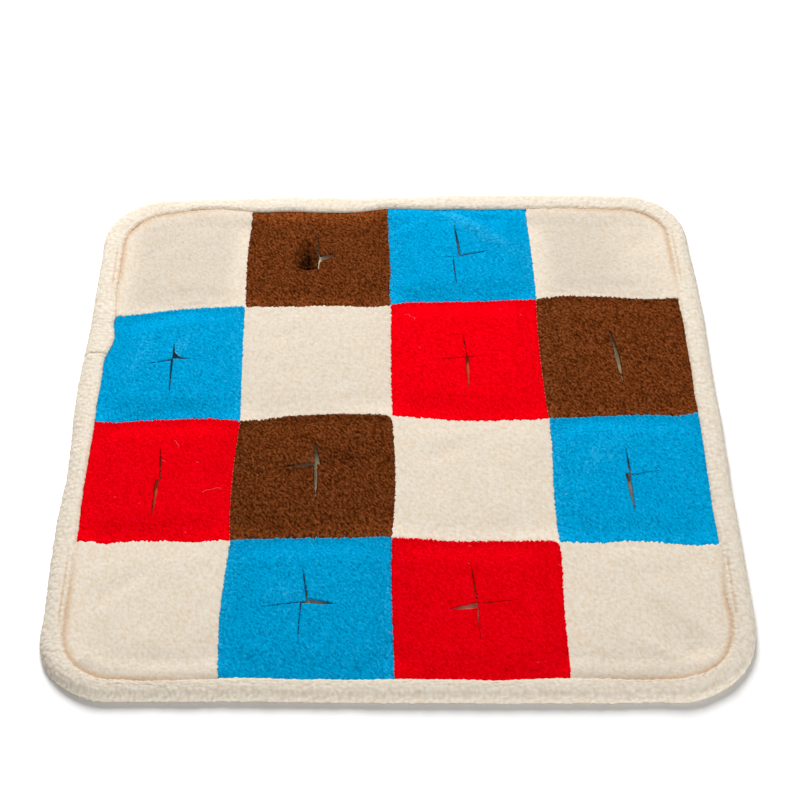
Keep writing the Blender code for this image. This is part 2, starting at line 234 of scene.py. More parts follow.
def slow_noise(x, y, size, seed):
    """Smooth random hills about `size` across, from -1 to 1."""
    values = np.random.default_rng(seed).uniform(-1, 1, (96, 96))
    at = np.stack((x, y)) / size + 40
    cell = np.floor(at).astype(int)
    (i, j), (s, t) = cell % 95, ease(at - cell)
    return mix(mix(values[i, j], values[i + 1, j], s), mix(values[i, j + 1], values[i + 1, j + 1], s), t)


def curls(u, v, curl, seed, combed=COMBED, spread=0.22, long=1.35, wide=0.52):
    """The pile's height from 0 in a hollow to 1 on a tip, and each point's curl's own shade."""
    rng = np.random.default_rng(seed)
    at = np.stack((u - u.min(), v - v.min())) / curl + 3
    cell = np.floor(at).astype(int)
    size = tuple(cell.max(1) + 4)
    jitter = rng.uniform(-0.36, 0.36, (2, *size))
    turn = combed + rng.normal(0, spread, size)
    half_long, half_wide = long * rng.uniform(0.87, 1.13, size), wide * rng.uniform(0.9, 1.1, size)
    height, shade = rng.uniform(0.55, 1.0, size), rng.normal(0, 1, size)
    best, best_shade = np.zeros(len(u)), np.zeros(len(u))
    for step_u in range(-2, 3):
        for step_v in range(-2, 3):
            i, j = cell[0] + step_u, cell[1] + step_v
            right = at[0] - (i + 0.5 + jitter[0, i, j])
            away = at[1] - (j + 0.5 + jitter[1, i, j])
            cos, sin = np.cos(turn[i, j]), np.sin(turn[i, j])
            lengthwise = (right * cos + away * sin) / half_long[i, j]
            crosswise = (away * cos - right * sin) / half_wide[i, j]
            dome = height[i, j] * (1 - np.sqrt(lengthwise**2 + crosswise**2 + 0.04) + 0.2)
            best_shade = np.where(dome > best, shade[i, j], best_shade)
            best = np.maximum(best, dome)
    return best, best_shade


# %% [markdown]
# ## Mesh helpers
#
# Shapes come from bmesh operators: a grid is laid on the plan, slit, extruded into a closed sheet, and only
# its upper side is subdivided finely, because nobody sees the pile's underside. After that the work is moving
# points by formula, which is quick to do for all points of a mesh at once with numpy.

# %% Reading and writing a mesh's points and attributes


def read_points(mesh):
    points = np.empty(len(mesh.vertices) * 3, np.float32)
    mesh.vertices.foreach_get("co", points)
    return points.reshape(-1, 3).astype(float)


def write_points(mesh, points):
    mesh.vertices.foreach_set("co", points.astype(np.float32).ravel())
    mesh.update()


def read_normals(mesh):
    normals = np.empty(len(mesh.vertices) * 3, np.float32)
    mesh.vertex_normals.foreach_get("vector", normals)
    return normals.reshape(-1, 3).astype(float)


def read_values(mesh, name):
    values = np.empty(len(mesh.vertices), np.float32)
    mesh.attributes[name].data.foreach_get("value", values)
    return values.astype(float)


def write_values(mesh, name, values):
    attribute = mesh.attributes.get(name) or mesh.attributes.new(name, "FLOAT", "POINT")
    attribute.data.foreach_set("value", values.astype(np.float32))


def finished(name, mesh, material):
    """Link a finished mesh as an object at the origin."""
    mesh.shade_smooth()
    mesh.materials.append(material)
    obj = bpy.data.objects.new(name, mesh)
    bpy.context.scene.collection.objects.link(obj)
    return obj


def triangles(obj):
    obj.data.calc_loop_triangles()
    return len(obj.data.loop_triangles)


# %% Laying a grid and making it a closed sheet
def cloth_lines(marks, step):
    """All the marks, with even steps between them."""
    marks = sorted(marks)
    lines = [marks[0]]
    for low, high in zip(marks, marks[1:]):
        count = max(1, math.ceil((high - low) / step - SMALL))
        lines += [mix(low, high, part / count) for part in range(1, count + 1)]
    return lines


def flat_sheet(x_lines, y_lines):
    bm = bmesh.new()
    columns, rows = len(x_lines) - 1, len(y_lines) - 1
    bmesh.ops.create_grid(bm, x_segments=columns, y_segments=rows, size=0.5)
    for vert in bm.verts:
        vert.co.x = x_lines[round((vert.co.x + 0.5) * columns)]
        vert.co.y = y_lines[round((vert.co.y + 0.5) * rows)]
    return bm


def closed_sheet(bm, fine_cuts, is_fine):
    """Extrude the sheet, and cut the upper faces that is_fine names into small ones."""
    top = bm.verts.layers.float.new("top")
    grown = bmesh.ops.extrude_face_region(bm, geom=bm.faces[:])["geom"]
    for vert in grown:
        if isinstance(vert, bmesh.types.BMVert):
            vert[top] = 1.0
            vert.co.z = BACKING
    bmesh.ops.recalc_face_normals(bm, faces=bm.faces[:])
    edges = [
        edge
        for edge in bm.edges
        if any(all(v[top] == 1.0 for v in face.verts) and is_fine(face) for face in edge.link_faces)
    ]
    bmesh.ops.subdivide_edges(bm, edges=edges, cuts=fine_cuts, use_grid_fill=True)


# %% [markdown]
# ## Fleece as a material
#
# Fleece has no gloss. What the eye reads as fleece is the dark between curls, pale tips, a slow mottling from
# curl to curl, and a faint bloom where the pile is seen edge on. The dark between curls is painted shade and the
# pale tips are partly a painted highlight, over the relief's own shading. The relief's own height is kept on each
# point as the attribute `pile`, and one shade per curl as `tone`, so the colours sit exactly on the curls. `tone`
# also carries painted light and shade from slopes, seams and hollows.
# Object-space noise adds the fibres that are too small to model, both in colour and as fine bump.

# %% Cloth materials
def linear(red, green, blue):
    """A screen colour, 0 to 255, as linear light."""
    parts = [value / 255 for value in (red, green, blue)]
    return tuple(p / 12.92 if p <= 0.04045 else ((p + 0.055) / 1.055) ** 2.4 for p in parts) + (1.0,)


def add_node(nodes, kind, **settings):
    node = nodes.new(kind)
    for name, value in settings.items():
        if name in node.inputs:
            node.inputs[name].default_value = value
        else:
            setattr(node, name, value)
    return node


def fleece(name, hollow, body, tip, sheen=0.0, tone_share=0.02, tuft_size=0.0016, tuft_share=1.1, relief=0.0006):
    """A fleece material: three colours up the pile, mottled by curl, with tufts of fibre and fine bump."""
    material = bpy.data.materials.new(name)
    material.use_nodes = True
    nodes, link = material.node_tree.nodes, material.node_tree.links.new
    shader = nodes["Principled BSDF"]
    shader.inputs["Roughness"].default_value = 1.0
    shader.inputs["Specular IOR Level"].default_value = 0.0
    shader.inputs["Sheen Weight"].default_value = sheen
    shader.inputs["Sheen Roughness"].default_value = 0.5
    place = nodes.new("ShaderNodeTexCoord").outputs["Object"]
    pile = add_node(nodes, "ShaderNodeAttribute", attribute_name="pile").outputs["Fac"]
    tone = add_node(nodes, "ShaderNodeAttribute", attribute_name="tone").outputs["Fac"]
    tint_and_painted_light = add_node(nodes, "ShaderNodeAttribute", attribute_name="tint_and_painted_light").outputs["Fac"]
    # Tufts of fibre, drawn out along the nap
    nap = add_node(nodes, "ShaderNodeMapping", vector_type="TEXTURE", Rotation=(0, 0, COMBED), Scale=(1.8, 1.0, 1.0))
    link(place, nap.inputs["Vector"])
    tuft = add_node(nodes, "ShaderNodeTexNoise", Scale=1 / tuft_size, Detail=2.0, Roughness=0.55)
    link(nap.outputs["Vector"], tuft.inputs["Vector"])
    above = add_node(nodes, "ShaderNodeMath", operation="MULTIPLY_ADD")
    link(tuft.outputs["Fac"], above.inputs[0])
    above.inputs[1].default_value = tuft_share
    above.inputs[2].default_value = 0.29 - tuft_share / 2
    height = add_node(nodes, "ShaderNodeMath", operation="MULTIPLY_ADD")
    link(pile, height.inputs[0])
    height.inputs[1].default_value = 0.42
    link(above.outputs[0], height.inputs[2])
    # The pile's colour runs from a painted shade in the hollows, through the body, to a paler tip that is partly a
    # painted highlight.
    ramp = nodes.new("ShaderNodeValToRGB")
    ramp.color_ramp.interpolation = "B_SPLINE"
    stops = ramp.color_ramp.elements
    stops[0].position, stops[0].color = 0.16, hollow
    stops[1].position, stops[1].color = 0.84, tip
    stops.new(0.50).color = body
    link(height.outputs[0], ramp.inputs["Fac"])
    # Each curl is a little lighter or darker than the next; the same tone also carries painted light and shade.
    value = add_node(nodes, "ShaderNodeMath", operation="MULTIPLY_ADD")
    link(tone, value.inputs[0])
    value.inputs[1].default_value = tone_share
    value.inputs[2].default_value = 1.0
    mottled = add_node(nodes, "ShaderNodeHueSaturation")
    link(value.outputs[0], mottled.inputs["Value"])
    link(ramp.outputs["Color"], mottled.inputs["Color"])
    # Mix in the second colour: pale tips, painted highlights and a tan painted shade in creases.
    tinted_with_painted_light = add_node(nodes, "ShaderNodeMix", data_type="RGBA")
    link(tint_and_painted_light, tinted_with_painted_light.inputs["Factor"])
    link(mottled.outputs["Color"], tinted_with_painted_light.inputs["A"])
    tinted_with_painted_light.inputs["B"].default_value = SECOND_COLOUR_AND_PAINTED_LIGHT[name.split("_")[0]]
    link(tinted_with_painted_light.outputs["Result"], shader.inputs["Base Color"])
    bump = add_node(nodes, "ShaderNodeBump", Strength=0.6, Distance=relief)
    link(tuft.outputs["Fac"], bump.inputs["Height"])
    link(bump.outputs["Normal"], shader.inputs["Normal"])
    return material



# Each fleece's second colour: pale tips, painted highlights, and a tan painted shade for creases.
SECOND_COLOUR_AND_PAINTED_LIGHT = {
    "cream": linear(192, 150, 106), "binding": linear(192, 150, 106), "blue": linear(70, 185, 222),
    "brown": linear(140, 88, 62), "red": linear(250, 15, 50),
}
FLEECE = {
    "cream": fleece(
        "cream_fleece", linear(206, 180, 143), linear(218, 206, 189), linear(228, 221, 211),
        sheen=0.05, tone_share=0.008, tuft_size=0.0019, tuft_share=0.52, relief=0.0003,
    ),
    "binding": fleece(
        "binding_fleece", linear(200, 179, 150), linear(217, 207, 191), linear(229, 221, 209),
        sheen=0.05, tone_share=0.008, tuft_size=0.0019, tuft_share=0.60, relief=0.0005,
    ),
    "blue": fleece(
        "blue_fleece", linear(0, 98, 144), linear(0, 146, 198), linear(0, 164, 214),
        tone_share=0.012, tuft_size=0.0013, tuft_share=1.25, relief=0.0006,
    ),
    "brown": fleece(
        "brown_fleece", linear(22, 6, 0), linear(87, 39, 9), linear(142, 77, 38),
        tone_share=0.04, tuft_size=0.0014, tuft_share=1.25, relief=0.0007,
    ),
    "red": fleece(
        "red_fleece", linear(172, 0, 0), linear(218, 0, 8), linear(240, 0, 26),
        tone_share=0.015, tuft_size=0.0015, tuft_share=0.9, relief=0.0005,
    ),
}
print("fleeces:", ", ".join(FLEECE))

# %% [markdown]
# ## The cross cuts
#
# A cut is a slit along two lines that cross, so it leaves four flaps. On the real mat no two look alike: the
# lips drift off the straight line, some arms stay shut, others gape over their whole length, and one tip
# often stands up or sinks into the pocket. A table gives each cut in those words. An arm has a length, a
# drift at its end, a gap half way and a crease, which says how far its lips turn down. A flap has the move of
# its tip. The slits are split into the flat sheet before anything is bent, which keeps their edges clean.

# %% The ten cuts, in mm on the plan
# centre: from the patch's own middle. far, near, left, right: (length, drift of the end, gap, crease).
# The flaps' tips: (to the right, away, up).
CUTS = {
    (0, 1): {
        "centre": (0.5, -4.0), "far": (28, -0.6, 0.0, 0.8), "near": (18, -0.8, 0.3, 0.8),
        "left": (15, -8.5, 0.4, 1.0), "right": (12, 4.5, 0.0, 0.3),
        "far_left": (-1.0, -7.0, -4.5), "far_right": (0.6, 2.4, 1.2),
        "near_left": (-0.3, -8.0, -5.0), "near_right": (0.3, -4.0, 0.0),
    },
    (0, 2): {
        "centre": (-3.8, -5.5), "far": (44, 0.5, 0.8, 1.0), "near": (36, -1.2, 0.3, 0.9),
        "left": (11, 1.0, 0.0, 0.1), "right": (24.6, 7.5, 0.4, 0.8),
        "far_left": (2.8, 0.2, 0.0), "far_right": (3.6, 1.5, 1.4),
        "near_left": (-2.9, -0.2, 0.0), "near_right": (-2.4, 0.3, 0.0),
    },
    (1, 0): {
        "centre": (-0.8, 1.2), "point": 2.2, "far": (17, 0.4, 0.0, 0.6), "near": (35.5, 0.7, 0.5, 1.0),
        "left": (20.5, -2.5, 0.0, 0.5), "right": (15, 0.4, 0.0, 0.2),
        "far_left": (-0.3, 0.3, 0.6), "far_right": (4.4, 3.4, 3.6),
        "near_left": (-0.6, -0.6, -0.3), "near_right": (0.6, 0.2, 0.4),
    },
    (1, 2): {
        "centre": (0.6, -2.3), "far": (21, -2.6, 0.5, 0.8), "near": (28, 0.0, 0.8, 0.8),
        "left": (19, -2.5, 0.0, 0.35), "right": (21.5, 2.3, 0.0, 0.06),
        "far_left": (-0.2, 0.2, 0.4), "far_right": (0.3, 0.2, 0.2),
        "near_left": (-1.1, -0.3, 0.0), "near_right": (1.1, -0.2, 0.0),
    },
    (1, 3): {
        "centre": (-0.1, 0.9), "point": 1.4, "far": (21, -3.5, 0.2, 1.0), "near": (27, 2.5, 1.0, 1.0),
        "left": (13, -1.5, 0.0, 0.0), "right": (20, 1.5, 0.0, 0.0),
        "far_left": (-1.5, 0.0, 0.2), "far_right": (1.9, 0.0, 0.2),
        "near_left": (-1.5, 0.0, 0.2), "near_right": (1.9, 0.0, 0.2),
    },
    (2, 0): {
        "centre": (0.3, -4.3), "far": (29, -2.2, 0.6, 1.0), "near": (32, -1.6, 1.0, 1.0),
        "left": (16, -0.7, 0.0, 0.0), "right": (16, 0.9, 0.0, 0.0),
        "far_left": (1.2, 0.0, 0.2), "far_right": (2.0, 0.0, 0.2),
        "near_left": (-2.3, 0.0, 0.2), "near_right": (0.0, 0.0, 0.2),
    },
    (2, 1): {
        "centre": (1.9, 7.0), "far": (22, -2.0, 0.0, 1.0), "near": (34, 1.0, 0.1, 1.0),
        "left": (28, -1.8, 0.1, 0.9), "right": (32, -0.7, 0.0, 0.4),
        "far_left": (-1.2, 0.7, 2.8), "far_right": (3.2, -0.2, -1.2),
        "near_left": (-1.9, -0.5, 0.0), "near_right": (0.9, 0.4, 0.3),
    },
    (2, 3): {
        "centre": (-1.8, 1.5), "far": (20, -1.0, 0.3, 1.0), "near": (35, 1.4, 0.5, 1.0),
        "left": (14, -1.0, 0.0, 0.0), "right": (22, 3.1, 0.0, 0.16),
        "far_left": (0.2, 0.0, 0.2), "far_right": (1.6, -1.2, 0.8),
        "near_left": (-2.8, 0.0, 0.2), "near_right": (0.8, -1.4, -0.2),
    },
    (3, 1): {
        "centre": (-2.2, 1.8), "far": (27, -1.9, 0.4, 1.0), "near": (30.5, -3.0, 0.1, 0.9),
        "left": (26, -4.0, 0.0, 0.3), "right": (18, -1.2, 0.6, 0.9),
        "far_left": (2.2, 0.9, 0.2), "far_right": (2.9, 2.8, 0.9),
        "near_left": (-1.9, -0.2, 0.0), "near_right": (-1.6, -0.6, -0.2),
    },
    (3, 2): {
        "centre": (-0.6, 1.7), "far": (31, -3.1, 0.15, 1.0), "near": (27, 0.9, 0.0, 0.8),
        "left": (16, -4.5, 0.8, 0.5), "right": (28.7, 4.4, 0.0, 0.2),
        "far_left": (-0.3, 0.8, 0.5), "far_right": (0.5, 0.3, 0.3),
        "near_left": (-0.5, -3.0, -0.4), "near_right": (0.3, -0.4, 0.0),
    },
}
DRIFT_REACH = 0.022  # how far from a slit the cloth drifts with it
SHUT_END = 0.0035  # the last of each slit stays shut under the pile
LIP_TURN = 0.0013  # the lips turn down over this distance
UNDERCUT = 0.0022  # the backing is drawn back under the pile at a slit


def arm_values(cut, first, second, sign):
    """An arm's four columns for each point, from `second` where sign is positive and `first` elsewhere."""
    table = np.array((cut[first], cut[second]), float)
    length, drift, gap, crease = table[(sign > 0).astype(int)].T
    return length * MM + SHUT_END, drift, gap, crease


def open_cut(cut, x, y, side_x, side_y):
    """How far each point moves as the cut opens (right, away, up), how far its upper edge turns down, and how
    near it is to a slit, and how far its backing is drawn back from one."""
    centre_x, centre_y = np.array(cut["centre"]) * MM
    right, away = x - centre_x, y - centre_y
    right = np.where(abs(right) < SMALL, np.sign(side_x) * SMALL, right)
    away = np.where(abs(away) < SMALL, np.sign(side_y) * SMALL, away)
    cross_length, cross_drift, cross_gap, cross_crease = arm_values(cut, "left", "right", right)
    long_length, long_drift, long_gap, long_crease = arm_values(cut, "near", "far", away)
    across, along = abs(right) / cross_length, abs(away) / long_length
    tips = np.array([cut[flap] for flap in ("near_left", "far_left", "near_right", "far_right")], float)
    tip = tips[(right > 0) * 2 + (away > 0)]
    inside = (across < 1) & (along < 1)
    point = cut.get("point", 1.0)
    opening = np.clip(1 - along, 0, 1) ** point, np.clip(1 - across, 0, 1) ** point
    move = np.zeros((3, len(x)))
    move[0] = inside * tip[:, 0] * opening[0] * (1 + 0.4 * along) * opening[1] ** 2
    move[1] = inside * tip[:, 1] * opening[1] * (1 + 0.4 * across) * opening[0] ** 2
    move[2] = inside * tip[:, 2] * opening[0] * opening[1]
    # Lips that gape over their whole length
    near_long, near_cross = (np.clip(1 - abs(d) / DRIFT_REACH, 0, 1) for d in (right, away))
    move[0] += np.sign(right) * long_gap / 2 * np.sin(np.pi * np.clip(along, 0, 1) ** 0.8) * near_long**2
    move[1] += np.sign(away) * cross_gap / 2 * np.sin(np.pi * np.clip(across, 0, 1) ** 0.8) * near_cross**2
    # Slits that drift off the straight line, and fade out past their ends
    fade_long = np.where(along <= 1, along, np.clip(1 - (along - 1) * 1.5, 0, 1))
    fade_cross = np.where(across <= 1, across, np.clip(1 - (across - 1) * 1.5, 0, 1))
    move[0] += long_drift * fade_long * ease(near_long)
    move[1] += cross_drift * fade_cross * ease(near_cross)
    # The lips turn down, less and less towards a slit's end
    turn, beside, back = np.zeros(len(x)), np.zeros(len(x)), np.zeros((2, len(x)))
    bridged = np.clip(0.85 + 1.2 * slow_noise(x, y, 0.0024, 31), 0, 1)
    slits = (right, along, long_crease), (away, across, cross_crease)
    for axis, (distance, share, crease) in enumerate(slits):
        lip = np.clip(1 - abs(distance) / LIP_TURN, 0, 1)
        strength = 0.6 * crease * np.clip(4 * (1 - share), 0, 1) * (share < 1)
        turn = np.maximum(turn, strength * (1 - np.sqrt(np.clip(1 - lip**2, 0, 1))))
        back[axis] = np.sign(distance) * UNDERCUT * (lip > 0.99) * (share < 0.999)
        beside = np.maximum(beside, ease(1.6 * lip) * (share < 1.02) * np.minimum(1, 3 * crease) * bridged)
    return move * MM, turn, beside, back


# %% [markdown]
# ## The patches
#
# A patch is a thin sheet that swells between its seams. Its edges are turned down where it is sewn, which
# makes the narrow valley between two colours. Slow hills keep the sheets from looking like stamped parts, and
# a short table gives the folds and hollows that stand out. Each patch is a closed mesh: fine above, where the
# curls are, and coarse below.

# %% Folds and hollows that stand out, in mm on the plan
FOLDS = {  # patch: (x, y from its middle, turn in degrees, half length, half width, height)
    (0, 0): ((-20, 20, 30, 26, 10, -1.0), (14, -30, -10, 30, 9, 0.8)),
    (0, 1): ((-8.5, 2, 80, 17, 9, -4.4), (11, 5, -35, 18, 8, 2.4), (-30, 20, 20, 22, 12, 0.8)),
    (0, 2): ((12, 36, -48, 44, 7, 2.6), (30, 48, -35, 26, 9, -1.8), (-24, 30, 60, 20, 10, -0.8)),
    (0, 3): ((26, 10, 60, 30, 9, -1.0), (8, -34, 0, 34, 8, 0.7)),
    (1, 0): ((2.5, 12.5, -72, 7, 2.6, 1.3), (6, 14, 60, 18, 8, 1.0), (-30, 8, 75, 30, 10, 0.8), (-38, 42, 20, 20, 9, -1.0)),
    (1, 1): ((-24, 30, 15, 30, 10, -0.7), (30, -26, 50, 24, 9, 0.6)),
    (1, 3): ((-26, 20, 70, 30, 12, 0.9), (26, -10, 60, 34, 10, -0.8)),
    (2, 1): ((-18, 15, 0, 24, 5, 1.6), (24, 14, 0, 26, 8, -1.6), (-16, 0, 0, 22, 5, -1.0)),
    (2, 2): ((-18, 28, 25, 26, 9, -1.5), (24, -24, 40, 28, 9, 0.7)),
    (2, 3): ((-22, 18, 30, 24, 10, 0.8), (20, -26, -40, 26, 9, -0.8)),
    (3, 0): ((-20, 22, 40, 26, 9, -1.6), (-4, -20, -20, 30, 10, 0.8)),
    (3, 1): ((-16, 10, 8, 18, 5, 0.8), (-40, 4, 80, 34, 7, -1.0)),
    (3, 3): ((20, -16, -50, 28, 7, -1.8), (34, -6, -58, 24, 6, 1.2), (6, -34, -30, 26, 6, 1.2), (16, 34, 20, 30, 9, -1.2)),
}
# A painted shade: how much darker each patch's fold hollows are painted, 0.3 where not listed.
PAINTED_HOLLOW_SHADE = {(0, 1): 1.9, (2, 1): 0.8}
# How much lighter or darker each patch's pile is painted, in steps of a curl's tone: painted light and shade.
SHADE = {(0, 0): -5.0, (0, 3): -4.0, (1, 1): -11.0, (1, 2): 4.0, (2, 0): -1.0, (2, 2): -3.0, (2, 3): 4.0, (3, 0): -1.5, (3, 2): -2.0,
         (2, 1): -2.5, (0, 1): -1.5}
SEAM_TURN, SEAM_DEPTH = 0.0030, 0.0018
SEAM_DOWN = {  # how far each edge is turned down at its seam
    "cream": {"left": 0.3, "right": 0.2, "near": 0.6, "far": 0.2},
    "coloured": {"left": 0.95, "right": 0.6, "near": 0.85, "far": 0.0},
}
# A painted shade: how much darker the pile is painted down in a seam.
PAINTED_SEAM_SHADE = {"cream": 10, "blue": 50, "brown": 9, "red": 30}  # how much darker the pile is down in a seam
FRINGE = 0.0034  # beside a seam or the binding the curls lean out over it
COARSE = 0.0050
FINE_CUTS = {"cream": 4, "blue": 5, "brown": 5, "red": 5}
PILE = {"cream": 0.00048, "brown": 0.00110, "blue": 0.00085, "red": 0.00075, "binding": 0.00110}


ROUND_CORNERS = {(1, 0): 3.0, (2, 1): 6.5, (3, 2): 5.0}  # far right corners that the sewing drew round, radius in mm


def drawn_in(radius, from_x, from_y):
    """How far points near a corner move as it is drawn round, from their distances to its two edges."""
    right, away = (np.clip(1 - distance / radius, 0, 1) for distance in (from_x, from_y))
    return -radius * right * (1 - np.sqrt(1 - away**2 / 2)), -radius * away * (1 - np.sqrt(1 - right**2 / 2))


def filled_out(radius, along):
    """How far a neighbour's edge bulges to fill the place that a round corner leaves."""
    along = np.clip(along, 0, radius)
    return np.minimum(along, radius - np.sqrt(radius**2 - (radius - along) ** 2))


def patch_span(index):
    """Where a patch starts and ends along x, index from the left, or along y, index from the near side."""
    edge = HALF_SIDE - CLOTH_INSET
    low, high = (index - 2) * CELL + GAP / 2, (index - 1) * CELL - GAP / 2
    return -edge if index == 0 else low, edge if index == 3 else high


def seam_distances(place, index):
    """Distances to the seams that a patch has at its low and high end; none at the mat's rim."""
    low, high = patch_span(index)
    return [distance for distance, inner in ((place - low, index > 0), (high - place, index < 3)) if inner]


def crown(x, y, x_index, y_index):
    height = ease((inset_of(x, y) - BAND_WIDTH) / CROWN_RUN)
    for distance in seam_distances(x, x_index) + seam_distances(y, y_index):
        height = height * ease(distance / CROWN_RUN)
    return height


def fold_height(folds, x, y):
    height = np.zeros(len(x))
    for fold_x, fold_y, turn, half_long, half_wide, rise in folds:
        cos, sin = math.cos(math.radians(turn)), math.sin(math.radians(turn))
        right, away = x / MM - fold_x, y / MM - fold_y
        lengthwise, crosswise = (right * cos + away * sin) / half_long, (away * cos - right * sin) / half_wide
        height += rise * MM * np.exp(-(lengthwise**2) - crosswise**2)
    return height


def gathered(places, lines, marks):
    """Draw the fine mesh lines beside seams and slits closer to them."""
    lines = np.array(lines)
    out = places.copy()
    for mark in marks:
        at = int(abs(lines - mark).argmin())
        for step in (-1, 1):
            if 0 <= at + step < len(lines):
                width = lines[at + step] - lines[at]
                share = (places - lines[at]) / width
                near = (share > 0) & (share < 1)
                out[near] = lines[at] + width * share[near] ** 1.5
    return out


def slit_edges(bm, cut, centre):
    """The edges of the flat grid that lie on the cut's four arms."""
    reach = {arm: cut[arm][0] * MM + SHUT_END + SMALL for arm in ("far", "near", "left", "right")}
    found = []
    for edge in bm.edges:
        ends = [vert.co for vert in edge.verts]
        lengthwise = all(abs(co.x - centre[0]) < SMALL for co in ends)
        crosswise = all(abs(co.y - centre[1]) < SMALL for co in ends)
        if (lengthwise and all(-reach["near"] < co.y - centre[1] < reach["far"] for co in ends)) or (
            crosswise and all(-reach["left"] < co.x - centre[0] < reach["right"] for co in ends)
        ):
            found.append(edge)
    return found


def patch_mesh(row, column):
    """The flat closed sheet of one patch, slit and finely cut above, with the lines it was drawn on."""
    x_index, y_index = column, 3 - row
    middle = np.array(((x_index - 1.5) * CELL, (y_index - 1.5) * CELL))
    x_marks, y_marks = set(patch_span(x_index)), set(patch_span(y_index))
    for marks, index in ((x_marks, x_index), (y_marks, y_index)):
        if index in (0, 3):
            marks.add(math.copysign(CREASE, index - 1))
    cut = CUTS.get((row, column))
    gather_x, gather_y = [set(marks) for marks in (x_marks, y_marks)]
    if cut:
        centre = middle + np.array(cut["centre"]) * MM
        left, right, near, far = (cut[arm][0] * MM + SHUT_END for arm in ("left", "right", "near", "far"))
        x_marks |= {centre[0] - left, centre[0], centre[0] + right}
        y_marks |= {centre[1] - near, centre[1], centre[1] + far}
        gather_x.add(centre[0])
        gather_y.add(centre[1])
    x_lines, y_lines = cloth_lines(x_marks, COARSE), cloth_lines(y_marks, COARSE)
    bm = flat_sheet(x_lines, y_lines)
    sides = [bm.verts.layers.float.new(name) for name in ("side_x", "side_y")]
    if cut:
        bmesh.ops.split_edges(bm, edges=slit_edges(bm, cut, centre))
        for vert in bm.verts:
            faces = vert.link_faces
            mean = sum((face.calc_center_median() for face in faces), Vector()) / len(faces)
            vert[sides[0]], vert[sides[1]] = mean.x - centre[0], mean.y - centre[1]

    def is_fine(face):
        co = face.calc_center_median()
        plan = rounded(np.array([co.x]), np.array([co.y]))
        inset = inset_of(*plan)[0]
        return inset > 0.026 or (inset > 0.009 and inset > lip_inset(*plan)[0] - 0.8 * COARSE)

    closed_sheet(bm, FINE_CUTS[PATCHWORK[row][column]], is_fine)
    mesh = bpy.data.meshes.new(f"patch_r{row + 1}_c{column + 1}")
    bm.to_mesh(mesh)
    bm.free()
    return mesh, middle, gathered_lines(x_lines, gather_x), gathered_lines(y_lines, gather_y)


def gathered_lines(lines, marks):
    return lines, sorted(marks)


def tint_and_painted_light_of(colour, x, y, x_index, y_index, pile, tone, inside, folds):
    """How far each point takes the second colour: tan painted shade in creases, painted highlights and pale tips."""
    if colour == "cream":
        # In the crease along the binding the fleece is painted tan, a painted shade, most of all round the corners.
        crease = np.exp(-(((inside - 0.0008) / 0.0024) ** 2))
        corner = ease((np.minimum(abs(x), abs(y)) - 0.13) / 0.05)
        return 0.70 * crease * mix(0.3, 1.0, corner) * (1 - 0.4 * pile)
    if colour == "blue":
        # Blue pile has pale tips, more of them beside seams to the left and right and on raised folds,
        # where they are a painted highlight.
        edge = np.zeros(len(x))
        for distance in seam_distances(x, x_index):
            edge = np.maximum(edge, np.clip(1 - distance / 0.012, 0, 1) * ease(distance / 0.0014))
        return ease((pile - 0.45) / 0.4) * np.clip(0.35 * edge + 380 * folds - 0.05 + 0.16 * tone, 0, 0.6)
    return ease((pile - 0.5) / 0.4) * np.clip(0.12 + 0.12 * tone, 0, 0.5)


# How much lighter each colour is painted on a near slope: painted light.
PAINTED_NEAR_SLOPE_LIGHT = {"cream": 18, "blue": 14, "brown": 9, "red": 10}


def painted_slope_shade(colour, x, y, x_index, y_index, swell, inside):
    """Painted light and shade: lighter on a near slope, darker on a far one, and darker or lighter by the binding."""
    low_y, high_y = patch_span(y_index)
    at_binding = ease(1 - inside / 0.022) * (abs(y) > abs(x))
    near_slope, far_slope = ease(1 - (y - low_y) / 0.022), ease(1 - (high_y - y) / 0.016)
    if colour == "cream":
        # On cream the painted shade fades towards the right, and the far patches are painted darker in the middle.
        to_window = 1 - 0.6 * ease((x - 0.175) / 0.035)
        shade = -26.0 * at_binding * to_window if y_index == 0 else (0.2 if y_index == 3 else 1.0) * 18.0 * near_slope
        return shade - (19.0 * swell * to_window if y_index == 3 else 0.0)
    shade = (-7.0 if colour == "blue" else -2.0) * at_binding if y_index == 0 else PAINTED_NEAR_SLOPE_LIGHT[colour] * near_slope
    return shade + (16.0 * at_binding if y_index == 3 else (-10.0 if colour == "blue" else -5.0) * far_slope)


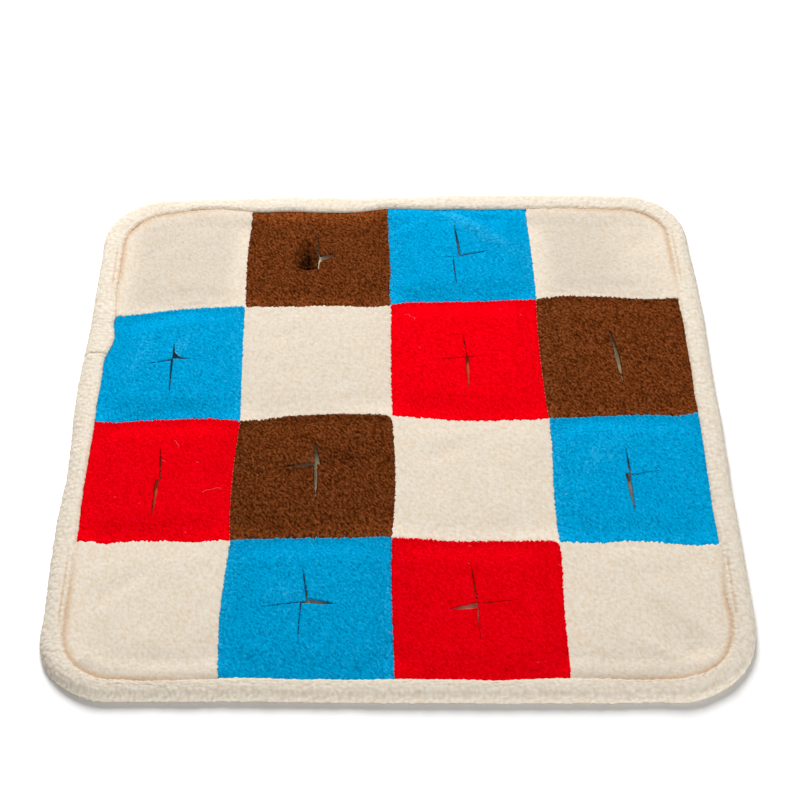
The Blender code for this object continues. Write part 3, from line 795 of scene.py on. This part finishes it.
def shaped_patch(row, column):
    colour = PATCHWORK[row][column]
    x_index, y_index = column, 3 - row
    mesh, middle, x_gather, y_gather = patch_mesh(row, column)
    points, top = read_points(mesh), read_values(mesh, "top")
    x = gathered(points[:, 0], *x_gather)
    y = gathered(points[:, 1], *y_gather)
    cut = CUTS.get((row, column))
    move, turn, at_slit = np.zeros((3, len(x))), np.zeros(len(x)), np.zeros(len(x))
    if cut:
        sides = read_values(mesh, "side_x"), read_values(mesh, "side_y")
        move, turn, at_slit, back = open_cut(cut, x - middle[0], y - middle[1], *sides)
        move[:2] += back * (top < 0.5)
    long, wide = (1.0, 0.72) if colour == "cream" else (1.35, 0.52)
    pile, tone = curls(x, y, CURL[colour], 100 + 10 * row + column, COMBED, 0.25, long, wide)
    plan_x, plan_y = rounded(x, y)
    swell = crown(plan_x, plan_y, x_index, y_index)
    hills = slow_noise(plan_x, plan_y, 0.034, 5) * 0.0007 + slow_noise(plan_x, plan_y, 0.015, 6) * 0.0003
    folds = fold_height(FOLDS.get((row, column), ()), x - middle[0], y - middle[1])
    rise = (POCKET_RISE if cut else PLAIN_RISE) * swell + (hills + folds) * ease(swell * 3)
    under = BASE_THICK + rim_lift(plan_x, plan_y) + GAP + np.maximum(rise + move[2], 0)
    # Beside the binding the pile stands up against the lip.
    inside = inset_of(plan_x, plan_y) - lip_inset(plan_x, plan_y)
    stand = ease((inside + 0.0022) / 0.0018) * ease(1 - (inside - 0.001) / 0.020)
    stand = stand * ((0.0029 if colour == "cream" else 0.0018) + lip_rise(plan_x, plan_y))
    down = SEAM_DOWN["cream" if colour == "cream" else "coloured"]
    for place, index, sides in ((x, x_index, ("left", "right")), (y, y_index, ("near", "far"))):
        for distance, side in zip(seam_distances(place, index), sides[index == 0 :]):
            edge = np.clip(1 - distance / SEAM_TURN, 0, 1)
            turn = np.maximum(turn, down[side] * (1 - np.sqrt(1 - edge**2)))
    (low_x, high_x), (low_y, high_y) = patch_span(x_index), patch_span(y_index)
    if colour != "cream" and y_index < 3:
        # The nap lies towards the far side and covers the seam there.
        move[1] += 0.0003 * ease(1 - (high_y - y) / FRINGE) * top
    own, below, beside = (
        ROUND_CORNERS.get(place, 0) * MM for place in ((row, column), (row + 1, column), (row, column - 1))
    )
    if own:
        move[:2] += drawn_in(own, high_x - x, high_y - y)
    if below:
        move[1] -= filled_out(below, high_x - x) * ease(1 - (y - low_y) / 0.009)
    if beside:
        move[0] -= filled_out(beside, high_y - y) * ease(1 - (x - low_x) / 0.009)
    # Beside seams and the binding the curls lean out, which gives the borders their uneven line.
    lean = (pile - 0.2) * (0.0030 if colour == "cream" else 0.0020) * top
    lean_share = (0.6, 1.0)  # less to the left and right, where the nap lies along the seam
    for axis, place, index in ((0, x, x_index), (1, y, y_index)):
        low, high = patch_span(index)
        if index > 0:
            move[axis] -= lean_share[axis] * lean * ease(1 - (place - low) / FRINGE)
        if index < 3:
            move[axis] += lean_share[axis] * lean * ease(1 - (high - place) / FRINGE)
    if colour != "cream":
        beside = ease(1 - abs(inside - 0.0012) / 0.002)
        flat_x, flat_y = abs(x) > abs(y), abs(y) >= abs(x)
        move[0] += lean * beside * flat_x * np.sign(x)
        move[1] += lean * beside * flat_y * np.sign(y)
    points[:, :2] = sewn(plan_x + move[0], plan_y + move[1])
    points[:, 2] = under + top * (BACKING + stand - SEAM_DEPTH * turn)
    write_points(mesh, points)
    shown = ease((inside + 0.001) / 0.0015)
    # Curls grow along the cloth's normal, but straight up beside a slit, so that the lips keep clear.
    grow = read_normals(mesh)
    grow[:, :2] *= (1 - at_slit)[:, None]
    write_points(mesh, points + grow * (top * pile * mix(0.15, 1.0, shown) * PILE[colour])[:, None])
    tint_and_painted_light = tint_and_painted_light_of(colour, x, y, x_index, y_index, pile, tone, inside, folds)
    # Raised flap tips get a painted highlight in the second colour.
    tint_and_painted_light = np.maximum(tint_and_painted_light, (0.9 if colour == "blue" else 0.3) * ease((move[2] - 0.0012) / 0.0014) * ease(pile * 2))
    write_values(mesh, "pile", np.where(top > 0.5, pile, 0.45))
    # Painted light and shade on the tone: per patch, on slopes, and a painted shade in seams and fold hollows.
    tone = tone + SHADE.get((row, column), 0) + painted_slope_shade(colour, plan_x, plan_y, x_index, y_index, swell, inside)
    tone = tone - PAINTED_SEAM_SHADE[colour] * turn**2 - 2600 * np.maximum(0, -folds) * PAINTED_HOLLOW_SHADE.get((row, column), 0.3)
    write_values(mesh, "tone", tone)
    write_values(mesh, "tint_and_painted_light", tint_and_painted_light)
    return finished(f"{colour}_patch_r{row + 1}_c{column + 1}", mesh, FLEECE[colour])


# %% Make the sixteen patches
patches = {}
for row, colours in enumerate(PATCHWORK):
    for column, colour in enumerate(colours):
        patch = shaped_patch(row, column)
        patches[row, column] = patch
        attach(patch, "root")
        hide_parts(f"patch_{colour}_r{row + 1}_c{column + 1}")
        spans = [patch_span(index) for index in (column, 3 - row)]
print("patch triangles:", sum(triangles(patch) for patch in patches.values()))

# %% [markdown]
# ## The base cloth
#
# The layer under the patches is a plain fleece with its smooth side up. It is seen only through the cuts,
# in the shade of the pockets, so a light grid with slow hills and a knitted bump is enough.

# %% Base cloth material and sheet
# The base cloth's colour is painted light: under each patch it takes the colour of the light through or off it.
CAST = {"cream": (0.45, 0.38, 0.28), "blue": (0.14, 0.18, 0.18), "brown": (0.40, 0.32, 0.21), "red": (0.62, 0.08, 0.035)}
CAST_AT = {(0, 1): (0.84, 0.73, 0.52), (0, 2): (0.45, 0.33, 0.22), (1, 3): (0.27, 0.21, 0.12), (1, 0): (0.07, 0.11, 0.12), (2, 1): (0.34, 0.25, 0.15), (3, 2): (0.90, 0.40, 0.30), (2, 0): (0.74, 0.12, 0.05), (2, 3): (0.24, 0.22, 0.19), (3, 1): (0.62, 0.56, 0.44)}


def base_material():
    material = bpy.data.materials.new("base_cloth")
    material.use_nodes = True
    nodes, link = material.node_tree.nodes, material.node_tree.links.new
    shader = nodes["Principled BSDF"]
    shader.inputs["Roughness"].default_value = 1.0
    shader.inputs["Specular IOR Level"].default_value = 0.0
    place = nodes.new("ShaderNodeTexCoord").outputs["Object"]
    cast = add_node(nodes, "ShaderNodeAttribute", attribute_name="cast").outputs["Color"]
    cloud = add_node(nodes, "ShaderNodeTexNoise", Scale=160.0, Detail=4.0)
    knit = add_node(nodes, "ShaderNodeTexVoronoi", Scale=900.0)
    link(place, cloud.inputs["Vector"])
    link(place, knit.inputs["Vector"])
    value = add_node(nodes, "ShaderNodeMath", operation="MULTIPLY_ADD")
    link(cloud.outputs["Fac"], value.inputs[0])
    value.inputs[1].default_value = 0.6
    value.inputs[2].default_value = 0.7
    mottled = add_node(nodes, "ShaderNodeHueSaturation")
    link(value.outputs[0], mottled.inputs["Value"])
    link(cast, mottled.inputs["Color"])
    link(mottled.outputs["Color"], shader.inputs["Base Color"])
    # A little light also comes through the fleece above; it is painted as a faint glow of the base's colour.
    link(mottled.outputs["Color"], shader.inputs["Emission Color"])
    shader.inputs["Emission Strength"].default_value = 0.14
    bump = add_node(nodes, "ShaderNodeBump", Strength=0.4, Distance=0.0003)
    link(knit.outputs["Distance"], bump.inputs["Height"])
    link(bump.outputs["Normal"], shader.inputs["Normal"])
    return material


# Where the base bulges below a cut, in mm: (right, away) from the cut's middle, height, reach
BULGED = {
    (0, 1): (7, 1, 5.4, 8), (0, 2): (13, 2, 2.0, 8), (1, 0): (0, 0, 0.3, 16), (1, 2): (0, 0, 3.4, 16),
    (1, 3): (0, 0, 0.9, 16), (2, 0): (0, 0, 3.4, 16), (2, 1): (0, 0, 0.5, 16), (2, 3): (0, 0, 2.2, 16),
    (3, 1): (9, 0, 5.6, 8), (3, 2): (-7, -1, 5.8, 8),
}


def base_layer():
    edge = HALF_SIDE - CLOTH_INSET
    lines = cloth_lines({-edge, -CREASE, -CREASE + CREASE_RUN, CREASE - CREASE_RUN, CREASE, edge}, 0.006)
    bm = flat_sheet(lines, lines)
    closed_sheet(bm, 1, lambda face: False)
    mesh = bpy.data.meshes.new("base_layer")
    bm.to_mesh(mesh)
    bm.free()
    points, top = read_points(mesh), read_values(mesh, "top")
    x, y = rounded(points[:, 0], points[:, 1])
    hills = (slow_noise(x, y, 0.02, 9) - 1) * 0.0002
    columns, rows = (np.clip(place / CELL, 0, 3.99).astype(int) for place in (x + 2 * CELL, 2 * CELL - y))
    cast = np.array([CAST[PATCHWORK[row][column]] for row, column in zip(rows, columns)])
    # Under each cut the base cloth is bulged up a little, so it shows close below the lips.
    for (row, column), cut in CUTS.items():
        right = x - (column - 1.5) * CELL - cut["centre"][0] * MM
        away = y - (1.5 - row) * CELL - cut["centre"][1] * MM
        to_right, to_far, height, reach = np.array(BULGED[row, column]) * MM
        near = np.exp(-((right - to_right) ** 2 + (away - to_far) ** 2) / reach**2)
        hills = hills + height * near
        cast = mix(cast, np.array(CAST_AT.get((row, column), CAST[PATCHWORK[row][column]])), near[:, None])
    points[:, :2] = sewn(x, y)
    points[:, 2] = rim_lift(x, y) + top * (BASE_THICK + hills)
    write_points(mesh, points)
    colours = mesh.attributes.new("cast", "FLOAT_COLOR", "POINT")
    colours.data.foreach_set("color", np.column_stack((cast, np.ones(len(x)))).astype(np.float32).ravel())
    return finished("base_layer", mesh, base_material())


base = base_layer()
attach(base, "root")
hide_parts("base_cloth")
print("base triangles:", triangles(base))

# %% [markdown]
# ## The binding
#
# A strip of the same cream fleece is folded round the edge and stitched down along its inner side. Its
# section is a soft roll with a lip that presses on the patches. The section is drawn once from a short table
# and smoothed, and a grid is wrapped round it and round the mat's outline. The fill is never even, so width
# and height change slowly along the strip. Where the sewing pulled hardest, beside the corners on the left
# and right, a second furrow runs in the band, and the strip's two ends meet in a small crosswise crease.

# %% The binding's section
BAND_OUTSIDE = (  # (in from the outer edge, up) as shares of BAND_WIDTH and BAND_HEIGHT, sole to lip
    (1.0, 0), (0.61, 0), (0.255, 0), (0.07, 0.07), (0, 0.26), (0.035, 0.51),
    (0.15, 0.78), (0.34, 0.95), (0.56, 0.99), (0.76, 0.97), (0.9, 0.91), (1.0, 0.79),
)
SECTION_STEP, STATION_STEP = 0.00095, 0.00088


def smooth_line(points, step):
    """Points about `step` apart on a smooth line through the given ones."""
    points = np.array(points, float)
    padded = np.vstack((2 * points[0] - points[1], points, 2 * points[-1] - points[-2]))
    out = []
    for before, low, high, after in zip(padded, padded[1:], padded[2:], padded[3:]):
        count = max(2, math.ceil(np.linalg.norm(high - low) / step))
        for t in np.arange(count) / count:
            out.append(0.5 * (
                2 * low + (high - before) * t + (2 * before - 5 * low + 4 * high - after) * t**2
                + (3 * low - before - 3 * high + after) * t**3
            ))
    return np.array(out + [points[-1]])


def band_section():
    """The closed C, and each point's distance along it from the sole's inner edge."""
    outside = np.array(BAND_OUTSIDE) * (BAND_WIDTH, BAND_HEIGHT)
    roll = smooth_line(outside[2:], SECTION_STEP)
    back, roof = CLOTH_INSET - GAP, SOLE_THICK + BASE_THICK + BACKING + 3 * GAP
    groove = [(BAND_WIDTH, roof), (back, roof), (back, SOLE_THICK), (BAND_WIDTH, SOLE_THICK)]
    section = np.vstack((outside[:2], roll, groove))
    steps = np.linalg.norm(np.diff(section, axis=0), axis=1)
    return section, np.concatenate(([0], np.cumsum(steps))), len(roll)


def outline_stations():
    """Places round the plan, anticlockwise: x, y, outward x, outward y, way out, distance along."""
    stations = []
    corners = ((1, -1), (1, 1), (-1, 1), (-1, -1))
    for turn, (right, away) in enumerate(corners):
        radius = CORNER_RADIUS[right, away]
        arc = HALF_SIDE - radius
        count = round(math.pi / 2 * radius / STATION_STEP)
        for station in range(count):
            angle = math.radians(90 * (turn - 1 + station / count))
            stations.append((right * arc, away * arc, math.cos(angle), math.sin(angle), radius))
        next_right, next_away = corners[(turn + 1) % 4]
        next_arc = HALF_SIDE - CORNER_RADIUS[next_right, next_away]
        count = round((arc + next_arc) / STATION_STEP)
        for share in np.arange(count) / count:
            if turn % 2 == 0:
                stations.append((0.0, mix(away * arc, next_away * next_arc, share), right, 0.0, HALF_SIDE))
            else:
                stations.append((mix(right * arc, next_right * next_arc, share), 0.0, 0.0, away, HALF_SIDE))
    return np.array(stations)


# Beside the corners: (side, from y, to y), where a second furrow shows
FURROWS = ((-1, 0.135, 0.205), (1, 0.130, 0.215), (-1, -0.205, -0.125), (1, -0.200, -0.122))
JOIN_Y = 0.073  # where the strip's ends meet, on the left side


def window(place, low, high, soft):
    return ease((place - low) / soft) * ease((high - place) / soft)


def binding():
    section, around, roll_count = band_section()
    stations = outline_stations()
    rings, count = len(stations), len(section)
    bm = bmesh.new()
    layers = [bm.verts.layers.float.new(name) for name in ("ring", "point")]
    bmesh.ops.create_grid(bm, x_segments=count, y_segments=rings, size=0.5)
    for vert in bm.verts:
        point = round((vert.co.x + 0.5) * count) % count
        ring = round((vert.co.y + 0.5) * rings) % rings
        vert[layers[0]], vert[layers[1]] = ring, point
        inset, height = section[point]
        x, y, out_x, out_y, way_out = stations[ring]
        vert.co = (x + (way_out - inset) * out_x, y + (way_out - inset) * out_y, height)
    bmesh.ops.remove_doubles(bm, verts=bm.verts[:], dist=SMALL)
    bmesh.ops.recalc_face_normals(bm, faces=bm.faces[:])
    mesh = bpy.data.meshes.new("fleece_binding")
    bm.to_mesh(mesh)
    bm.free()
    ring = read_values(mesh, "ring").round().astype(int)
    point = read_values(mesh, "point").round().astype(int)
    station = stations[ring]
    inset, height = section[point].T
    plan_x = station[:, 0] + station[:, 4] * station[:, 2]
    plan_y = station[:, 1] + station[:, 4] * station[:, 3]
    outside = point < 2 + roll_count
    above = ease((height / BAND_HEIGHT - 0.15) / 0.4) * outside
    fullness = slow_noise(plan_x, plan_y, 0.045, 21) + 0.5 * slow_noise(plan_x, plan_y, 0.017, 22)
    height = height * (1 + 0.07 * fullness * above)
    lip = ease((inset / BAND_WIDTH - 0.35) / 0.65) * (height > 0.0045)
    height = height + lip * lip_rise(plan_x, plan_y)
    inset = inset + lip * (0.0006 * slow_noise(plan_x, plan_y, 0.022, 23) + lip_inset(plan_x, plan_y) - BAND_WIDTH)
    wander = 0.0006 * slow_noise(plan_x, plan_y, 0.025, 24) + swings(EDGE_SWINGS, plan_x, plan_y)
    inset = inset - wander * (1 - inset / BAND_WIDTH) * outside
    # A tan painted shade in the crease at the lip, most of all round the corners.
    tint_and_painted_light = np.exp(-(((inset - lip_inset(plan_x, plan_y)) / 0.0014) ** 2)) * above
    corner = ease((np.minimum(abs(plan_x), abs(plan_y)) - 0.13) / 0.05)
    tint_and_painted_light = 0.5 * tint_and_painted_light * mix(0.3, 1.0, corner)
    # The furrow beside the corners, with a tan painted shade in it, and the crease where the strip's ends meet
    for side, low, high in FURROWS:
        along = window(plan_y, low, high, 0.02) * (np.sign(plan_x) == side) * (abs(plan_x) > 0.2)
        furrow = np.exp(-(((inset - 0.0138) / 0.0010) ** 2))
        height = height - 0.0011 * furrow * along * above
        tint_and_painted_light = np.maximum(tint_and_painted_light, 0.4 * furrow * along * above)
    left = (plan_x < -0.2) * above
    height = height - 0.0012 * np.exp(-(((plan_y - JOIN_Y) / 0.0011) ** 2)) * left
    out = station[:, 4] - inset
    x, y = station[:, 0] + out * station[:, 2], station[:, 1] + out * station[:, 3]
    points = np.column_stack((sewn(x, y), height))
    write_points(mesh, points)
    along_strip = ring * STATION_STEP
    pile, tone = curls(along_strip, around[point], CURL["binding"], 77, combed=0.3, spread=0.8, long=0.9, wide=0.8)
    nap = np.where(outside, ease(height / 0.002), 0.0)
    write_points(mesh, points + read_normals(mesh) * (pile * nap * PILE["binding"])[:, None])
    write_values(mesh, "pile", np.where(nap > 0.1, pile, 0.45))
    write_values(mesh, "tone", tone)
    write_values(mesh, "tint_and_painted_light", tint_and_painted_light)
    return finished("fleece_binding", mesh, FLEECE["binding"]), around, rings


band, around, rings = binding()
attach(band, "root")
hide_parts("binding")
print("binding triangles:", triangles(band), "rings:", rings)

# %% [markdown]
# ## Thread
#
# The patches and the binding are sewn with cream thread. A running stitch goes up and down through the cloth,
# so each row is one thin tube that dips under the pile and comes up again. The thread is laid on the finished
# cloth by dropping each of its points onto the surface, so it always sits in the pile. Loose bits of thread
# and lint, which fleece always picks up, are made the same way.

# %% Laying thread on the cloth
CLOTH = [BVHTree.FromObject(obj, bpy.context.evaluated_depsgraph_get()) for obj in (*patches.values(), band)]


def cloth_height(x, y):
    """The highest cloth under each point."""
    heights = []
    for right, away in zip(x, y):
        hits = [tree.ray_cast(Vector((right, away, 0.1)), Vector((0, 0, -1)))[0] for tree in CLOTH]
        heights.append(max((hit.z for hit in hits if hit), default=BASE_THICK))
    return np.array(heights)


def threads(name, rows, thickness, material, sides=4):
    """One piece from many threads, each a list of points with a height above the cloth."""
    bm = bmesh.new()
    for points in rows:
        points = np.array(points)
        count = len(points)
        ahead = np.gradient(points[:, :2], axis=0)
        across = np.column_stack((-ahead[:, 1], ahead[:, 0])) / np.linalg.norm(ahead, axis=1)[:, None]
        made = bmesh.ops.create_grid(bm, x_segments=sides, y_segments=count - 1, size=0.5)["verts"]
        for vert in made:
            turn = 2 * math.pi * (vert.co.x + 0.5)
            at = round((vert.co.y + 0.5) * (count - 1))
            out = thickness * math.cos(turn)
            vert.co = (
                points[at, 0] + across[at, 0] * out, points[at, 1] + across[at, 1] * out,
                points[at, 2] + thickness * math.sin(turn),
            )
        bmesh.ops.remove_doubles(bm, verts=made, dist=thickness * 0.01)
    bmesh.ops.holes_fill(bm, edges=[edge for edge in bm.edges if edge.is_boundary], sides=sides)
    bmesh.ops.recalc_face_normals(bm, faces=bm.faces[:])
    mesh = bpy.data.meshes.new(name)
    bm.to_mesh(mesh)
    bm.free()
    return finished(name, mesh, material)


def thread_material(name, colour):
    material = bpy.data.materials.new(name)
    material.use_nodes = True
    shader = material.node_tree.nodes["Principled BSDF"]
    shader.inputs["Base Color"].default_value = colour
    shader.inputs["Roughness"].default_value = 0.7
    shader.inputs["Specular IOR Level"].default_value = 0.2
    return material


# %% Rows of stitches
STITCH = 0.0036
THREAD = 0.00016


def running_stitch(x, y):
    """A thread along plan points a quarter stitch apart, up and down through the cloth."""
    place = sewn(x, y)
    dip = np.cos(np.arange(len(x)) * math.pi / 2)
    return np.column_stack((place, cloth_height(*place.T) + 0.0004 * dip - 0.0004))


def seam_rows():
    end = CREASE - 0.002
    along = np.arange(-end, end, STITCH / 4)
    for line in (-CELL, 0.0, CELL):
        yield running_stitch(along, np.full(len(along), line))
        yield running_stitch(np.full(len(along), line), along)


def binding_row():
    """Round the binding, close to its lip."""
    stations = outline_stations()[::4]
    x, y, out_x, out_y, way_out = stations.T
    out = way_out - lip_inset(x + way_out * out_x, y + way_out * out_y) + 0.0018
    return running_stitch(x + out * out_x, y + out * out_y)


seam_thread = threads("seam_thread", list(seam_rows()), THREAD, thread_material("cream_thread", linear(205, 190, 165)))
binding_thread = threads(
    "binding_thread", [binding_row()], THREAD, thread_material("binding_thread", linear(214, 200, 178))
)
print("thread triangles:", triangles(seam_thread), triangles(binding_thread))

# %% Loose bits of thread and lint, in mm on the mat: (from, to, bend, colour)
LOOSE = (
    ((8, 116), (16, 106), 2.5, "pink"), ((103, 113), (105, 112), 0.3, "pink"), ((87, 120), (88, 119), 0.2, "pink"),
    ((19, 75), (20.5, 73.5), 0.3, "pink"), ((-172, -20), (-168, -27), 0.8, "pink"), ((-181, -40), (-177, -42), 0.6, "pink"),
    ((-153, -42), (-152, -43), 0.2, "coral"), ((-147, -72), (-133, -65), 1.5, "pink"), ((-213, -75), (-212, -76), 0.2, "pink"),
    ((-194, -82), (-193, -81), 0.2, "pink"), ((-158, -106), (-157, -107), 0.2, "pink"), ((51, -141), (52, -142), 0.3, "pink"),
    ((117, -140), (119, -141), 0.3, "pink"), ((96, -226), (97, -227), 0.3, "pink"), ((-22, 124), (-21, 123.6), 0.1, "sky"),
    ((52, -122), (54, -123), 0.4, "coral"), ((120, 156.5), (120.4, 156), 0.1, "dark"), ((-122.5, 1), (-121.5, 0.4), 0.1, "lime"),
    ((127, -76), (128, -76.5), 0.2, "pale"), ((163.4, -44), (164, -44.6), 0.1, "coral"), ((-93, 170), (-90, 169), 0.5, "tan"),
    ((119, 68), (122, 66), 0.6, "tan"), ((-231, 182.5), (-230, 181.5), 0.2, "coral"), ((-234, -159), (-233, -159.6), 0.1, "coral"),
)
LINT = {
    "pink": linear(255, 95, 110), "pale": linear(225, 225, 225), "sky": linear(120, 190, 225), "coral": linear(235, 130, 110),
    "dark": linear(90, 75, 70), "lime": linear(190, 200, 110), "tan": linear(175, 130, 100),
}


def loose_thread(start, end, bend):
    share = np.linspace(0, 1, 9)
    start, end = np.array(start) * MM, np.array(end) * MM
    across = np.array((start[1] - end[1], end[0] - start[0])) / max(np.linalg.norm(end - start), SMALL)
    place = start + share[:, None] * (end - start)
    place = place + across * (np.sin(math.pi * share) + 0.4 * np.sin(3 * math.pi * share))[:, None] * bend * MM
    return np.column_stack((place, cloth_height(*place.T) + 0.0001))


lint = [
    threads(
        f"loose_{name}", [loose_thread(*bit[:3]) for bit in LOOSE if bit[3] == name], 0.00015,
        thread_material(f"{name}_lint", colour),
    )
    for name, colour in LINT.items()
]
for piece in (seam_thread, binding_thread, *lint):
    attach(piece, "root")
print("lint triangles:", sum(triangles(piece) for piece in lint))

# %% [markdown]
# ## Floor, light and camera
#
# The mat lies on a plain pale floor. A weak white surround adds a little light; one large soft light from
# behind and to the left gives most of it, and the curls their dark side and the near edge its shadow. A low
# light from the front and right fills the near side.

# %% Floor
def pale_floor():
    bm = bmesh.new()
    bmesh.ops.create_grid(bm, x_segments=1, y_segments=1, size=6.0)
    mesh = bpy.data.meshes.new("floor")
    bm.to_mesh(mesh)
    bm.free()
    material = bpy.data.materials.new("pale_floor")
    material.use_nodes = True
    shader = material.node_tree.nodes["Principled BSDF"]
    shader.inputs["Base Color"].default_value = (0.98, 0.98, 0.98, 1.0)
    shader.inputs["Roughness"].default_value = 0.9
    shader.inputs["Specular IOR Level"].default_value = 0.1
    return finished("floor", mesh, material)


pale_floor()

# %% Light
scene = bpy.context.scene
scene.view_settings.view_transform = "Standard"
world = bpy.data.worlds.new("white_surround")
world.use_nodes = True
world.node_tree.nodes["Background"].inputs["Color"].default_value = (1.0, 1.0, 1.0, 1.0)
world.node_tree.nodes["Background"].inputs["Strength"].default_value = 0.22
scene.world = world


def soft_light(name, place, size, power):
    data = bpy.data.lights.new(name, "AREA")
    data.shape, data.size, data.energy = "DISK", size, power
    light = bpy.data.objects.new(name, data)
    light.location = place
    light.rotation_euler = (-Vector(place)).to_track_quat("-Z", "Y").to_euler()
    scene.collection.objects.link(light)


soft_light("window_light", (-0.38, 1.56, 1.77), 1.35, 78.0)
soft_light("front_fill", (1.0, -2.1, 0.18), 0.8, 42)

# %% Camera
LENS, SENSOR = 76.68, 36.0
PITCH, YAW, ROLL = math.radians(48.5), math.radians(-0.02), math.radians(-0.88)


def camera_axes():
    """The camera's right, down and forward, turned by its roll and yaw."""
    level = Matrix(((1, 0, 0), (0, -math.sin(PITCH), -math.cos(PITCH)), (0, math.cos(PITCH), -math.sin(PITCH))))
    roll = Matrix.Rotation(ROLL, 3, "Z")
    yaw = Matrix.Rotation(YAW, 3, "Z")
    return roll @ level @ yaw


camera_data = bpy.data.cameras.new("camera")
camera_data.lens, camera_data.sensor_width, camera_data.clip_end = LENS, SENSOR, 50
camera = bpy.data.objects.new("camera", camera_data)
right, down, forward = camera_axes()
turned = Matrix((right, -down, -forward)).transposed()
camera.matrix_world = Matrix.Translation((0.0036, -0.8729, 1.0171)) @ turned.to_4x4()
scene.collection.objects.link(camera)
scene.camera = camera
print("camera at", tuple(round(value, 4) for value in camera.matrix_world.translation))
